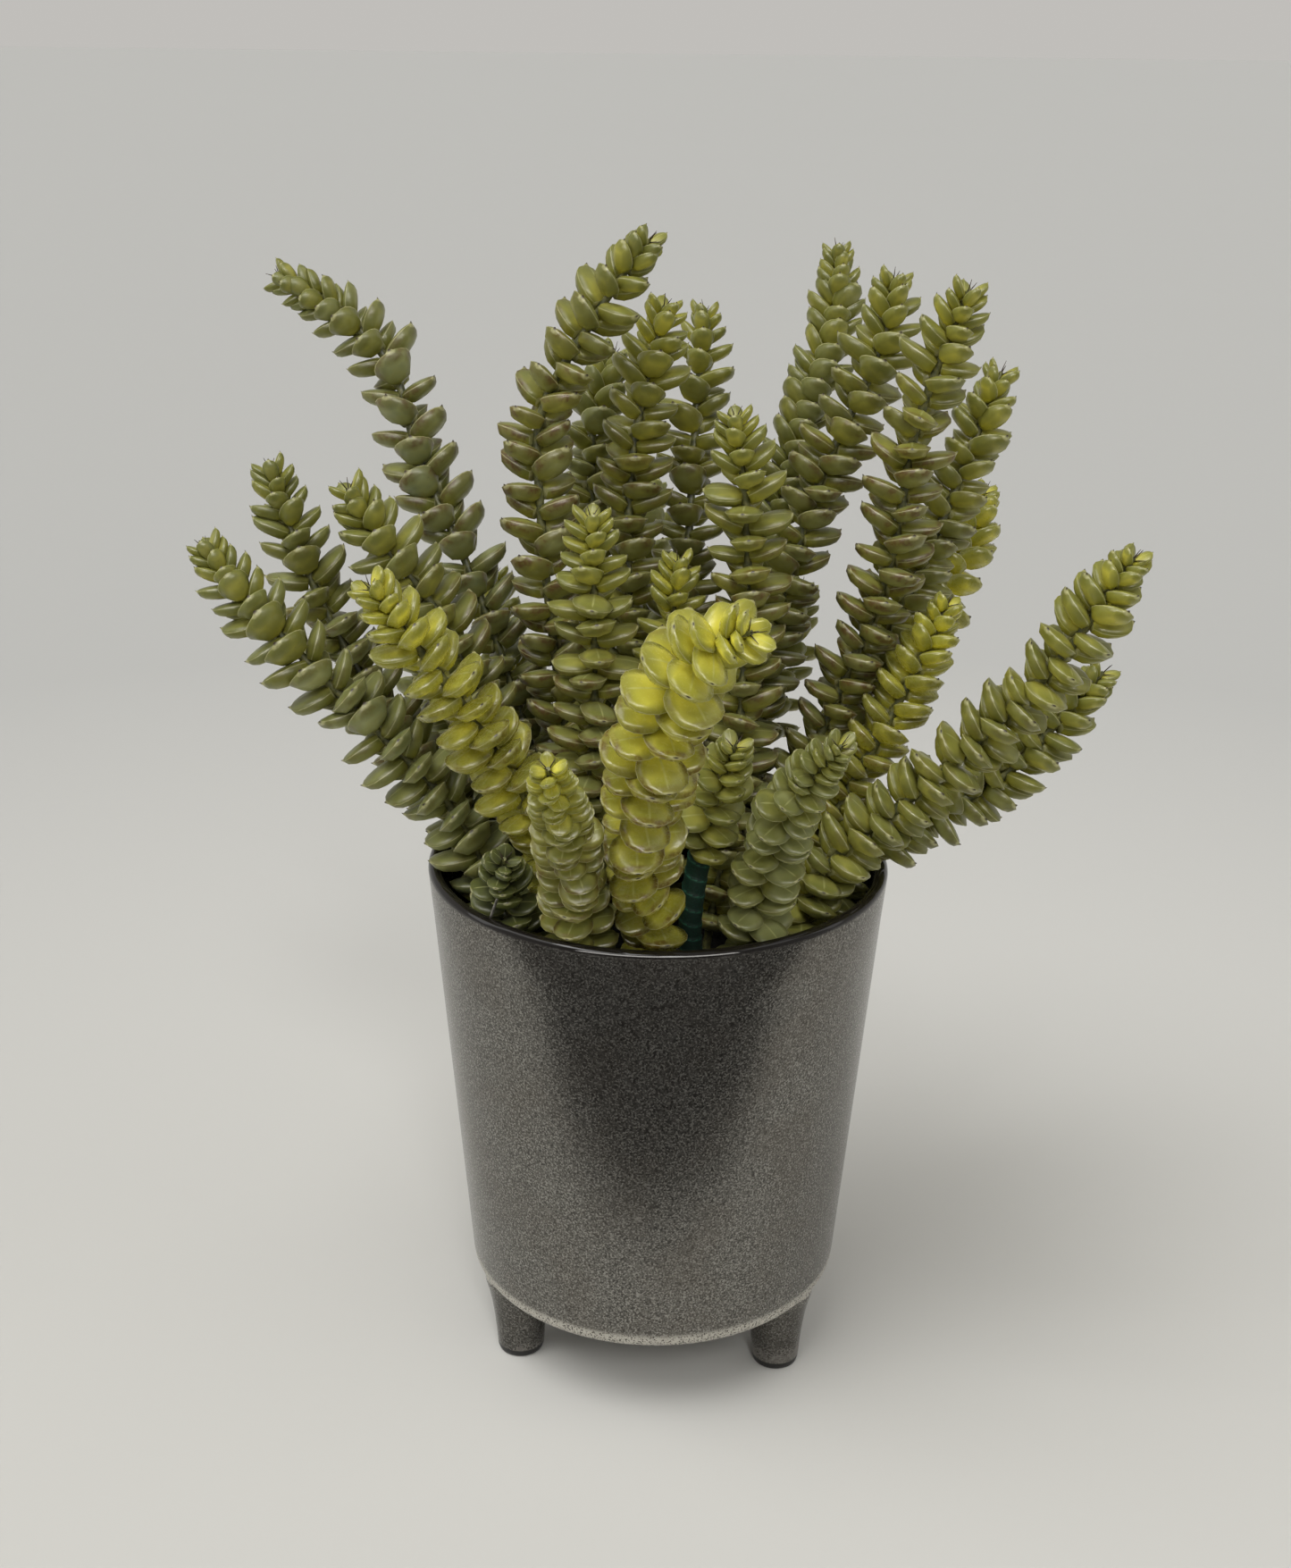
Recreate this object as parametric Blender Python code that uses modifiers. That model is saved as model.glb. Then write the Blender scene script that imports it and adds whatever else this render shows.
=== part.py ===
"""A donkey tail sedum in a glazed pot that stands on three short legs.

The plant is the moulded kind: fleshy pointed leaves in crossed pairs on thin wired stems,
and each stem is pushed into the dark filling of the pot. One stem is carried by a thicker
stalk wound with green tape. Units are metres and +Z is up. The origin is on the floor under
the middle of the pot, and the front is towards -Y.
"""
import math
from collections import namedtuple

import bmesh
import bpy
from mathutils import Matrix, Quaternion, Vector
from mathutils.geometry import interpolate_bezier
from mathutils.kdtree import KDTree

MM = 0.001
TOUCH_GAP = 0.3 * MM

# Pot
RIM_RADIUS = 60 * MM
RIM_HEIGHT = 141.5 * MM
BASE_RADIUS = 50.3 * MM
WALL = 3.4 * MM
FLOOR_THICKNESS = 5 * MM
BASE_ROUNDING = 2.2 * MM
POT_SIDES = 40
LIP_STEPS = 4

# Legs under the pot
LEG_HEIGHT = 23 * MM
LEG_PLACE_RADIUS = 40.8 * MM
LEG_ANGLES = (56.5, 176.5, 296.5)
LEG_SIDES = 14
LEG_SINK = 2 * MM
LEG_TOP_RADIUS = 8.4 * MM
LEG_WAIST_RADIUS = 7.5 * MM
LEG_FOOT_RADIUS = 6.9 * MM
LEG_FACE_RADIUS = 5.5 * MM
LEG_FOOT_ROUNDING = 2 * MM

# Filling, and the holes that the stems stand in
FILLING_TOP = 118 * MM
STEM_BURIED = 8 * MM
STEM_HOLE_RADIUS = 2.3 * MM
HOLE_SIDES = 8

# Leafy stems
STEM_HALF_WIDTH = 1.2 * MM
LEAF_LENGTH = 11.2 * MM
LEAF_HALF_WIDTH = 4.7 * MM
LEAF_THICKNESS = 4.7 * MM
LEAF_WIDEST = 0.52
KEEL_SHARE = 0.5
LEAF_TILT = 21
LEAF_TIP_LIFT = 12
PAIR_PITCH = 7.1 * MM
LEAFLESS_HEIGHT = 14 * MM
TIP_PITCHES = (2.2 * MM, 2.8 * MM, 3.7 * MM, 5 * MM, 6 * MM)
TIP_SIZES = (0.5, 0.62, 0.76, 0.9, 1.0)
TIP_TILTS = (68, 58, 48, 38, 30)
BUD_LENGTH = 2.2 * MM
ROUTE_STEP = 1 * MM
BEND_POINTS = 24

# A leaf that has no room is made smaller in these steps, and left out below the smallest size
SHRINK_STEP = 0.9
SMALLEST_LEAF = 0.4
HALFWAY_GAP = 0.35 * MM
POT_CLEARANCE = 0.7 * MM

# Taped stalk under one of the front stems
TAPED_STEM = "stem_front_small"
STALK_RADIUS = 3 * MM
STALK_HOLE_RADIUS = 3.6 * MM
STALK_TOP = 158 * MM

# Each stem: how far its leaf pairs are turned about it (degrees, from facing the front), the size of
# its leaves, and its way from the filling's surface to its tip in millimetres
Stem = namedtuple("Stem", "turn leaf_scale route_mm")
STEMS = {
    "stem_front_lime": Stem(
        20, 1.15, (
            (-3, -31, 118), (-1, -41, 143), (-6, -50, 158), (-5, -63, 178),
            (2, -86, 214), (9, -97, 228), (17, -104, 233),
        ),
    ),
    "stem_front_left": Stem(0, 0.92, ((-18, -38, 118), (-19, -48, 150), (-21, -64, 172), (-24, -88, 198))),
    "stem_front_right": Stem(45, 0.9, ((23, -35, 118), (24, -43, 148), (30, -60, 180), (39, -72, 198))),
    "stem_front_small": Stem(25, 0.9, ((9, -27, 118), (8, -34, 140), (11, -39, 164), (17, -50, 190))),
    "stem_rim_left": Stem(0, 0.85, ((-32, -25, 118), (-38, -34, 146), (-37, -43, 158))),
    "stem_left_bright": Stem(40, 1, ((-20, -20, 118), (-29, -26, 157), (-45, -37, 192), (-66, -48, 226))),
    "stem_left_low": Stem(
        20, 1, ((-39, -9, 118), (-50, -10, 153), (-73, -13, 182), (-100, -14, 212), (-110, -14, 226)),
    ),
    "stem_left_outer": Stem(
        20, 1, ((-39, 9, 118), (-53, 12, 150), (-77, 13, 184), (-91, 14, 214), (-99, 16, 239)),
    ),
    "stem_left_inner": Stem(
        30, 1, ((-26, 1, 118), (-38, 2, 160), (-55, 2, 203), (-68, 0, 222), (-77, -2, 238)),
    ),
    "stem_left_tall": Stem(
        0, 1, (
            (-24, 21, 118), (-34, 25, 160), (-49, 32, 204), (-64, 41, 236),
            (-71, 46, 259), (-85, 50, 273), (-101, 52, 282),
        ),
    ),
    "stem_left_back": Stem(35, 1, ((-36, 21, 118), (-42, 27, 142), (-57, 40, 164), (-71, 53, 186))),
    "stem_mid_arching": Stem(
        15, 1, (
            (-13, 9, 118), (-25, 11, 175), (-31, 15, 231),
            (-30, 17, 255), (-16, 16, 279), (-4, 14, 296),
        ),
    ),
    "stem_mid_front": Stem(0, 1, ((-12, -8, 118), (-17, -13, 160), (-16, -17, 200), (-17, -20, 236))),
    "stem_mid_tall": Stem(15, 1, ((-6, 20, 118), (-8, 24, 190), (-8, 29, 238), (0, 34, 278))),
    "stem_mid_left_back": Stem(30, 1, ((-14, 33, 118), (-17, 43, 180), (-19, 52, 238), (-13, 60, 262))),
    "stem_mid_right_back": Stem(-20, 1, ((2, 33, 118), (6, 40, 185), (9, 55, 246), (11, 62, 273))),
    "stem_mid_short": Stem(10, 1, ((1, 3, 118), (1, 2, 170), (4, 2, 220))),
    "stem_mid_right": Stem(0, 1, ((13, -7, 118), (20, -3, 175), (21, -1, 225), (17, -4, 257))),
    "stem_right_low": Stem(
        20, 1, ((34, -20, 118), (41, -22, 146), (68, -28, 175), (91, -35, 204), (106, -42, 233)),
    ),
    "stem_right_lower": Stem(
        30, 1, ((40, -3, 118), (50, -4, 139), (66, -4, 153), (88, -3, 165), (111, -4, 194)),
    ),
    "stem_right_yellow": Stem(30, 1, ((29, 1, 118), (45, 2, 150), (62, 3, 185), (72, 4, 209))),
    "stem_right_tall": Stem(
        15, 1, ((26, 15, 118), (40, 11, 165), (57, 9, 215), (62, 8, 252), (72, 4, 286)),
    ),
    "stem_right_tall_mid": Stem(
        20, 1, ((13, 18, 118), (25, 25, 175), (40, 31, 231), (55, 35, 266), (58, 36, 285)),
    ),
    "stem_right_tall_back": Stem(
        5, 0.87, ((14, 31, 118), (24, 42, 185), (36, 52, 240), (46, 62, 272), (46, 66, 289)),
    ),
    "stem_right_outer": Stem(30, 1, ((38, 17, 118), (55, 27, 175), (76, 36, 228), (88, 42, 261))),
    "stem_right_back": Stem(
        40, 1, ((31, 30, 118), (37, 34, 142), (56, 45, 166), (79, 58, 195), (91, 71, 223)),
    ),
    "stem_back_right": Stem(10, 1, ((18, 41, 118), (23, 45, 142), (31, 56, 163), (41, 73, 194))),
    "stem_back_mid": Stem(
        25, 1, ((1, 45, 118), (1, 50, 142), (0, 61, 163), (-3, 82, 195), (-5, 104, 221)),
    ),
    "stem_back_left": Stem(
        0, 1, ((-26, 35, 118), (-30, 40, 142), (-39, 55, 162), (-47, 71, 185), (-48, 77, 196)),
    ),
}

# Leaf colour of each kind of stem
LIME = (0.42, 0.46, 0.05, 1.0)
YELLOW_GREEN = (0.26, 0.33, 0.05, 1.0)
OLIVE = (0.13, 0.19, 0.05, 1.0)
GREY_GREEN = (0.08, 0.12, 0.06, 1.0)
STEM_COLOURS = {
    "stem_front_lime": LIME,
    "stem_front_left": YELLOW_GREEN,
    "stem_left_bright": YELLOW_GREEN,
    "stem_right_yellow": YELLOW_GREEN,
    "stem_right_low": YELLOW_GREEN,
    "stem_mid_short": YELLOW_GREEN,
    "stem_rim_left": GREY_GREEN,
    "stem_left_low": GREY_GREEN,
    "stem_left_outer": GREY_GREEN,
    "stem_left_tall": GREY_GREEN,
}


def clear_scene():
    """Start from an empty scene."""
    for obj in list(bpy.data.objects):
        bpy.data.objects.remove(obj, do_unlink=True)


def make_material(name, colour, roughness, metallic=0.0):
    """A Principled material of one colour."""
    material = bpy.data.materials.new(name)
    material.use_nodes = True
    shader = material.node_tree.nodes["Principled BSDF"]
    shader.inputs["Base Color"].default_value = colour
    shader.inputs["Roughness"].default_value = roughness
    shader.inputs["Metallic"].default_value = metallic
    return material


def make_collection(name):
    """A collection linked to the scene."""
    collection = bpy.data.collections.new(name)
    bpy.context.scene.collection.children.link(collection)
    return collection


def mark_helper(obj):
    """Show a cutter or a joined shape as wires only."""
    obj.hide_render = True
    obj.display_type = "WIRE"


def add_turned(name, profile, sides, collection):
    """Turn a profile round the Z axis: it starts on the axis, climbs inside and comes down outside."""
    mesh = bpy.data.meshes.new(name)
    edges = [(index, index + 1) for index in range(len(profile) - 1)]
    mesh.from_pydata([(radius, 0, height) for radius, height in profile], edges, [])
    obj = bpy.data.objects.new(name, mesh)
    collection.objects.link(obj)
    screw = obj.modifiers.new("Turn", "SCREW")
    screw.steps = sides
    screw.render_steps = sides
    screw.use_merge_vertices = True
    screw.merge_threshold = 0.02 * MM
    screw.use_smooth_shade = True
    return obj


def inner_wall_radius(height):
    """Radius of the pot's inner wall at a height."""
    share = (height - LEG_HEIGHT) / (RIM_HEIGHT - LEG_HEIGHT)
    return BASE_RADIUS + (RIM_RADIUS - BASE_RADIUS) * share - WALL


def pot_profile():
    """Inner floor, inner wall, rounded lip, outer wall and rounded base edge."""
    lip_radius = WALL / 2
    lip_centre = (RIM_RADIUS - lip_radius, RIM_HEIGHT - lip_radius)
    floor = LEG_HEIGHT + FLOOR_THICKNESS
    corner = 3 * MM
    profile = [
        (0, floor),
        (inner_wall_radius(floor) - corner, floor),
        (inner_wall_radius(floor + corner), floor + corner),
    ]
    for step in range(LIP_STEPS + 1):
        angle = math.pi * (1 - step / LIP_STEPS)
        radius = lip_centre[0] + lip_radius * math.cos(angle)
        profile.append((radius, lip_centre[1] + lip_radius * math.sin(angle)))
    profile.append((BASE_RADIUS, LEG_HEIGHT + BASE_ROUNDING))
    profile.append((BASE_RADIUS - BASE_ROUNDING * 0.3, LEG_HEIGHT + BASE_ROUNDING * 0.3))
    profile.append((BASE_RADIUS - BASE_ROUNDING, LEG_HEIGHT))
    profile.append((0, LEG_HEIGHT))
    return profile


def leg_profile():
    """A stubby tapered leg with a rounded foot and a flat face to stand on."""
    top = LEG_HEIGHT + LEG_SINK
    return [
        (0, top),
        (LEG_TOP_RADIUS, top),
        (LEG_WAIST_RADIUS, LEG_HEIGHT / 2),
        (LEG_FOOT_RADIUS, LEG_FOOT_ROUNDING),
        (LEG_FACE_RADIUS, 0),
        (0, 0),
    ]


def add_pot(part, helpers):
    """The glazed pot: a tapered cup and three legs, joined as one piece of ceramic."""
    pot = add_turned("pot", pot_profile(), POT_SIDES, part)
    legs = bpy.data.collections.new("pot_legs")
    helpers.children.link(legs)
    for number, angle in enumerate(LEG_ANGLES, start=1):
        leg = add_turned(f"leg_shape_{number}", leg_profile(), LEG_SIDES, legs)
        turn = math.radians(angle)
        leg.location = (LEG_PLACE_RADIUS * math.sin(turn), -LEG_PLACE_RADIUS * math.cos(turn), 0)
        mark_helper(leg)
    join = pot.modifiers.new("Legs", "BOOLEAN")
    join.operation = "UNION"
    join.operand_type = "COLLECTION"
    join.collection = legs
    pot.data.materials.append(make_material("glaze", (0.055, 0.052, 0.05, 1.0), 0.3))
    return pot


class Route:
    """A stem's centre line, with a direction and a side at any length along it."""

    def __init__(self, stem):
        self.turn = math.radians(stem.turn)
        self.leaf_scale = stem.leaf_scale
        points = [Vector(point) * MM for point in stem.route_mm]
        ends = [2 * points[0] - points[1], *points, 2 * points[-1] - points[-2]]
        dense = []
        for before, start, stop, after in zip(ends, ends[1:], ends[2:], ends[3:]):
            leaving = start + (stop - before) / 6
            arriving = stop - (after - start) / 6
            dense += interpolate_bezier(start, leaving, arriving, stop, BEND_POINTS)[:-1]
        dense.append(points[-1])
        self.points = dense
        self.lengths = [0.0]
        for start, stop in zip(dense, dense[1:]):
            self.lengths.append(self.lengths[-1] + (stop - start).length)
        self.length = self.lengths[-1]

    def place(self, along):
        """The point at a length along the route, which runs on straight past both ends."""
        if along <= 0:
            return self.points[0] + along * (self.points[1] - self.points[0]).normalized()
        if along >= self.length:
            last = (self.points[-1] - self.points[-2]).normalized()
            return self.points[-1] + (along - self.length) * last
        index = next(number for number, reached in enumerate(self.lengths) if reached >= along)
        share = (along - self.lengths[index - 1]) / (self.lengths[index] - self.lengths[index - 1])
        return self.points[index - 1].lerp(self.points[index], share)

    def direction(self, along):
        """The way the stem points at a length along the route."""
        return (self.place(along + ROUTE_STEP) - self.place(along - ROUTE_STEP)).normalized()

    def axes(self, along):
        """Side, back and forward directions there, at right angles to each other."""
        forward = self.direction(along)
        side = Vector((0, 1, 0)).cross(forward).normalized()
        side.rotate(Quaternion(forward, self.turn))
        return side, forward.cross(side), forward

    def samples(self):
        """Points along the whole route at even steps."""
        count = int(self.length / ROUTE_STEP)
        return [self.place(index * ROUTE_STEP) for index in range(count + 1)]


def point_tree(points):
    """A tree that finds the nearest of the points."""
    tree = KDTree(len(points))
    for index, point in enumerate(points):
        tree.insert(point, index)
    tree.balance()
    return tree


def clear_of_pot(point):
    """True for a point that is clear of the filling, the pot's wall and its lip."""
    radius = math.hypot(point.x, point.y)
    lip = Vector((radius - (RIM_RADIUS - WALL / 2), point.z - (RIM_HEIGHT - WALL / 2)))
    if lip.length < WALL / 2 + POT_CLEARANCE:
        return False
    if point.z < RIM_HEIGHT:
        above_filling = point.z > FILLING_TOP + POT_CLEARANCE
        return above_filling and radius < inner_wall_radius(point.z) - POT_CLEARANCE
    return True


class Leaf:
    """One leaf: a boat shape with a broad upper face, a narrower keel and a pointed tip."""

    def __init__(self, root, outward, across, forward, size, tilt):
        low = math.radians(tilt)
        high = math.radians(tilt + LEAF_TIP_LIFT)
        reach = math.cos(low) * outward + math.sin(low) * forward
        rise = math.cos(low) * forward - math.sin(low) * outward
        middle = root + LEAF_WIDEST * LEAF_LENGTH * size * reach
        from_axis = STEM_HALF_WIDTH + (middle - root).dot(outward)
        half = min(LEAF_HALF_WIDTH * size, 0.85 * from_axis)
        upper = middle + 0.3 * LEAF_THICKNESS * size * rise
        keel = middle - 0.7 * LEAF_THICKNESS * size * rise
        self.ring = [
            keel - KEEL_SHARE * half * across,
            keel + KEEL_SHARE * half * across,
            upper + half * across,
            upper - half * across,
        ]
        self.tip = root + LEAF_LENGTH * size * (math.cos(high) * outward + math.sin(high) * forward)

    def test_points(self):
        """The leaf's corners and points halfway from them to its tip."""
        return [*self.ring, self.tip, *[corner.lerp(self.tip, 0.5) for corner in self.ring]]

    def has_room(self, own_tree, other_tree):
        """True where the leaf stays nearer to its own stem than to any other, and clear of the pot."""
        for point in self.test_points():
            own = own_tree.find(point)[2]
            other = other_tree.find(point)[2]
            if other < own + HALFWAY_GAP or not clear_of_pot(point):
                return False
        return True


def fitted_leaf(root, outward, across, forward, size, tilt, own_tree, other_tree):
    """The largest leaf that has room there, or None."""
    scale = 1.0
    while scale >= SMALLEST_LEAF:
        leaf = Leaf(root, outward, across, forward, size * scale, tilt)
        if leaf.has_room(own_tree, other_tree):
            return leaf
        scale *= SHRINK_STEP
    return None


def pair_places(route, first):
    """Where each pair of leaves stands along a stem, with its size and tilt, from the lowest pair up."""
    places = []
    along = route.length
    scale = route.leaf_scale
    for pitch, size, tilt in zip(TIP_PITCHES, TIP_SIZES, TIP_TILTS):
        along -= pitch * scale
        places.append((along, size * scale, tilt))
    while along - PAIR_PITCH * scale > first:
        along -= PAIR_PITCH * scale
        places.append((along, scale, LEAF_TILT))
    return places[::-1]


def add_section(bm, route, along, half_width):
    """Four corners round the stem, in order as seen from its tip."""
    centre = route.place(along)
    side, back, _ = route.axes(along)
    corners = ((-1, -1), (1, -1), (1, 1), (-1, 1))
    return [bm.verts.new(centre + half_width * (a * side + b * back)) for a, b in corners]


def add_panel(bm, low, high, edge):
    """One side face between two rings of four."""
    following = (edge + 1) % 4
    return bm.faces.new((low[edge], low[following], high[following], high[edge]))


def close_to_point(bm, ring, place):
    """Close a ring of four with faces that meet in a point."""
    point = bm.verts.new(place)
    for edge in range(4):
        bm.faces.new((ring[edge], ring[(edge + 1) % 4], point))


def add_leaf(bm, root_ring, leaf):
    """Grow a leaf out of the gap that a missing side face leaves in the stem."""
    ring = [bm.verts.new(corner) for corner in leaf.ring]
    for edge in range(4):
        add_panel(bm, root_ring, ring, edge)
    close_to_point(bm, ring, leaf.tip)


def stem_mesh(name, route, start, own_tree, other_tree):
    """A square stem with a pair of leaves on each stretch, each pair crossing the one below it."""
    bm = bmesh.new()
    leafless = (FILLING_TOP + LEAFLESS_HEIGHT - route.place(0).z) / max(route.direction(0).z, 0.5)
    places = pair_places(route, max(leafless, start + PAIR_PITCH / 2))
    middles = [along for along, _, _ in places]
    joints = [(low + high) / 2 for low, high in zip(middles, middles[1:])]
    joints = [middles[0] - PAIR_PITCH / 2, *joints, route.length]
    low = add_section(bm, route, start, STEM_HALF_WIDTH)
    bm.faces.new(reversed(low))
    ring = add_section(bm, route, joints[0], STEM_HALF_WIDTH)
    for edge in range(4):
        add_panel(bm, low, ring, edge)
    for number, (along, size, tilt) in enumerate(places):
        taper = min(1.0, size + 0.2)
        upper = add_section(bm, route, joints[number + 1], STEM_HALF_WIDTH * taper)
        side, back, forward = route.axes(along)
        outwards = (-back, side, back, -side)
        for edge, outward in enumerate(outwards):
            leaf = None
            if edge % 2 == number % 2:
                root = route.place(along) + STEM_HALF_WIDTH * outward
                across = forward.cross(outward)
                leaf = fitted_leaf(root, outward, across, forward, size, tilt, own_tree, other_tree)
            if leaf:
                following = (edge + 1) % 4
                add_leaf(bm, [ring[edge], ring[following], upper[following], upper[edge]], leaf)
            else:
                add_panel(bm, ring, upper, edge)
        ring = upper
    close_to_point(bm, ring, route.place(route.length + BUD_LENGTH))
    mesh = bpy.data.meshes.new(name)
    bm.to_mesh(mesh)
    bm.free()
    return mesh


def add_stalk(route, part):
    """The stalk that is wound with green tape: a thick wire from the filling to the stem it carries."""
    curve = bpy.data.curves.new("taped_stalk", "CURVE")
    curve.dimensions = "3D"
    curve.bevel_depth = STALK_RADIUS
    curve.bevel_resolution = 2
    curve.use_fill_caps = True
    spacing = 8 * MM
    top = next(step for step in range(1000) if route.place(step * ROUTE_STEP).z >= STALK_TOP) * ROUTE_STEP
    count = round((top + STEM_BURIED) / spacing)
    places = [-STEM_BURIED + (top + STEM_BURIED) * index / count for index in range(count + 1)]
    spline = curve.splines.new("POLY")
    spline.points.add(len(places) - 1)
    for point, along in zip(spline.points, places):
        point.co = (*route.place(along), 1)
    stalk = bpy.data.objects.new("taped_stalk", curve)
    part.objects.link(stalk)
    stalk.data.materials.append(make_material("florist_tape", (0.01, 0.12, 0.06, 1.0), 0.55))
    return top


def add_filling(routes, part, helpers):
    """The dark filling of the pot, with a plain hole for each stem."""
    floor = LEG_HEIGHT + FLOOR_THICKNESS + TOUCH_GAP
    corner = 3 * MM
    top_radius = inner_wall_radius(FILLING_TOP) - TOUCH_GAP
    profile = [
        (0, FILLING_TOP),
        (top_radius, FILLING_TOP),
        (inner_wall_radius(floor + corner) - TOUCH_GAP, floor + corner),
        (inner_wall_radius(floor) - corner - TOUCH_GAP, floor),
        (0, floor),
    ]
    filling = add_turned("filling", profile, POT_SIDES, part)
    filling.data.materials.append(make_material("dark_filling", (0.012, 0.010, 0.009, 1.0), 0.9))
    holes = bpy.data.collections.new("stem_holes")
    helpers.children.link(holes)
    for name, route in routes.items():
        radius = STALK_HOLE_RADIUS if name == TAPED_STEM else STEM_HOLE_RADIUS
        below = STEM_BURIED + TOUCH_GAP
        above = 4 * MM
        bm = bmesh.new()
        bmesh.ops.create_cone(
            bm, cap_ends=True, segments=HOLE_SIDES, radius1=radius, radius2=radius, depth=below + above
        )
        direction = route.direction(-ROUTE_STEP)
        turn = Vector((0, 0, 1)).rotation_difference(direction).to_matrix().to_4x4()
        centre = route.place(0) + (above - below) / 2 * direction
        bm.transform(Matrix.Translation(centre) @ turn)
        mesh = bpy.data.meshes.new(f"hole_{name}")
        bm.to_mesh(mesh)
        bm.free()
        hole = bpy.data.objects.new(f"hole_{name}", mesh)
        holes.objects.link(hole)
        mark_helper(hole)
    cut = filling.modifiers.new("Stem holes", "BOOLEAN")
    cut.operation = "DIFFERENCE"
    cut.operand_type = "COLLECTION"
    cut.collection = holes
    return filling


def add_leafy_stems(routes, stalk_top, part):
    """One object for each leafy stem, with its leaves fused to it."""
    samples = {name: route.samples() for name, route in routes.items()}
    for name, route in routes.items():
        own_tree = point_tree(samples[name])
        other_tree = point_tree([point for other in routes if other != name for point in samples[other]])
        start = stalk_top + TOUCH_GAP if name == TAPED_STEM else -STEM_BURIED
        mesh = stem_mesh(name, route, start, own_tree, other_tree)
        mesh.materials.append(make_material(f"leaf_{name}", STEM_COLOURS.get(name, OLIVE), 0.45))
        part.objects.link(bpy.data.objects.new(name, mesh))


def main():
    clear_scene()
    part = make_collection("potted_donkey_tail_sedum")
    helpers = make_collection("shapes_to_cut_and_join")
    routes = {name: Route(stem) for name, stem in STEMS.items()}
    add_pot(part, helpers)
    add_filling(routes, part, helpers)
    stalk_top = add_stalk(routes[TAPED_STEM], part)
    add_leafy_stems(routes, stalk_top, part)


main()
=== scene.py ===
# %% [markdown]
# # A donkey tail sedum in a footed pot
# This is the plant that is sold as a decoration: leaves of soft moulded plastic on wired stems, which
# are pushed into the dark filling of a glazed pot on three short legs. The script dresses the packed
# solids. It works in metres, with +Z up, and the floor under the middle of the pot is the origin.

# %% Load the imported solids and keep where they stand
import math
import random
from collections import namedtuple

import bmesh
import bpy
from mathutils import Matrix, Quaternion, Vector, noise
from mathutils.geometry import interpolate_bezier
from mathutils.kdtree import KDTree


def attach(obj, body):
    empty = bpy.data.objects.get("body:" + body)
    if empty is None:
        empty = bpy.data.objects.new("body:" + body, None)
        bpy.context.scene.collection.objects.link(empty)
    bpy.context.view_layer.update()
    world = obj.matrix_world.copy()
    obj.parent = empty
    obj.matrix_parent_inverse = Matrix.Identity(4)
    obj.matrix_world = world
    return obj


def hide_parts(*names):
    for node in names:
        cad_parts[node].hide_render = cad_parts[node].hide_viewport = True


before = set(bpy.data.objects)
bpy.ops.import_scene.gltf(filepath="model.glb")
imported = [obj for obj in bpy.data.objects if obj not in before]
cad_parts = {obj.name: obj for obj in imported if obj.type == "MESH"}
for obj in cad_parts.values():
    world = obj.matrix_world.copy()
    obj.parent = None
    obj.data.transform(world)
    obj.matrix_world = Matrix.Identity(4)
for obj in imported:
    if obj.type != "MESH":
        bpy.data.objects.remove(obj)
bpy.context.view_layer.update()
scene = bpy.context.scene
scene.view_settings.view_transform = "Standard"
MM = 0.001
print("solids loaded:", len(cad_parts))

# %% [markdown]
# ## Small tools
# Colours are picked as sRGB hex values, which is how a photograph is read, and the renderer wants
# linear light, so one function turns one into the other. One function adds any node to any tree, with
# its settings and what feeds it. Its inputs are named, or given in the order in which the editor shows
# them, and a node given as an input stands for its first output in use. A ramp also gets its stops.

# %% Tools for colours and nodes
MATH = "ShaderNodeMath"
RANGE = "ShaderNodeMapRange"
MIX = "ShaderNodeMix"
RAMP = "ShaderNodeValToRGB"
NOISE = "ShaderNodeTexNoise"
COORDINATES = "ShaderNodeTexCoord"
SMOOTH = {"interpolation_type": "SMOOTHSTEP"}
PLUS = {"operation": "ADD"}
LESS = {"operation": "SUBTRACT"}
TIMES = {"operation": "MULTIPLY"}
TIMES_PLUS = {"operation": "MULTIPLY_ADD"}
LARGER = {"operation": "MAXIMUM"}


def linear(hex_colour):
    """A linear RGBA colour from an sRGB hex value."""
    parts = [int(hex_colour[place:place + 2], 16) / 255 for place in (1, 3, 5)]
    return (*[part / 12.92 if part <= 0.04045 else ((part + 0.055) / 1.055) ** 2.4 for part in parts], 1)


def feed(node, feeds):
    """Set or link a node's inputs, by name or number, or in order through those that are in use."""
    if not isinstance(feeds, dict):
        in_use = [number for number, socket in enumerate(node.inputs) if socket.enabled]
        feeds = dict(zip(in_use, feeds))
    for name, value in feeds.items():
        if isinstance(value, bpy.types.Node):
            value = next(socket for socket in value.outputs if socket.enabled)
        if isinstance(value, bpy.types.NodeSocket):
            node.id_data.links.new(value, node.inputs[name])
        else:
            node.inputs[name].default_value = value


def add(tree, kind, feeds=(), **settings):
    """Add a node with its settings, and feed it."""
    node = tree.nodes.new(kind)
    for name, value in settings.items():
        setattr(node, name, value)
    feed(node, feeds)
    return node


def set_stops(node, stops):
    """Give a colour ramp its stops, each a place and an sRGB hex colour."""
    for place, colour in stops[1:-1]:
        node.color_ramp.elements.new(place)
    for element, (place, colour) in zip(node.color_ramp.elements, stops):
        element.position = place
        element.color = linear(colour)
    return node


# %% [markdown]
# ## How the finishes are made
# Every finish starts as a material with one shader, whose own sockets hold what is the same all over.
# Its pattern follows Object coordinates, which stay put on the piece. Where several colours lie over
# one another, each layer says where it shows by a few shares, which are multiplied.

# %% Tools for finishes
def new_finish(name, feeds):
    """A material with its tree and its shader."""
    finish = bpy.data.materials.new(name)
    finish.use_nodes = True
    shader = finish.node_tree.nodes["Principled BSDF"]
    feed(shader, feeds)
    return finish, finish.node_tree, shader


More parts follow.
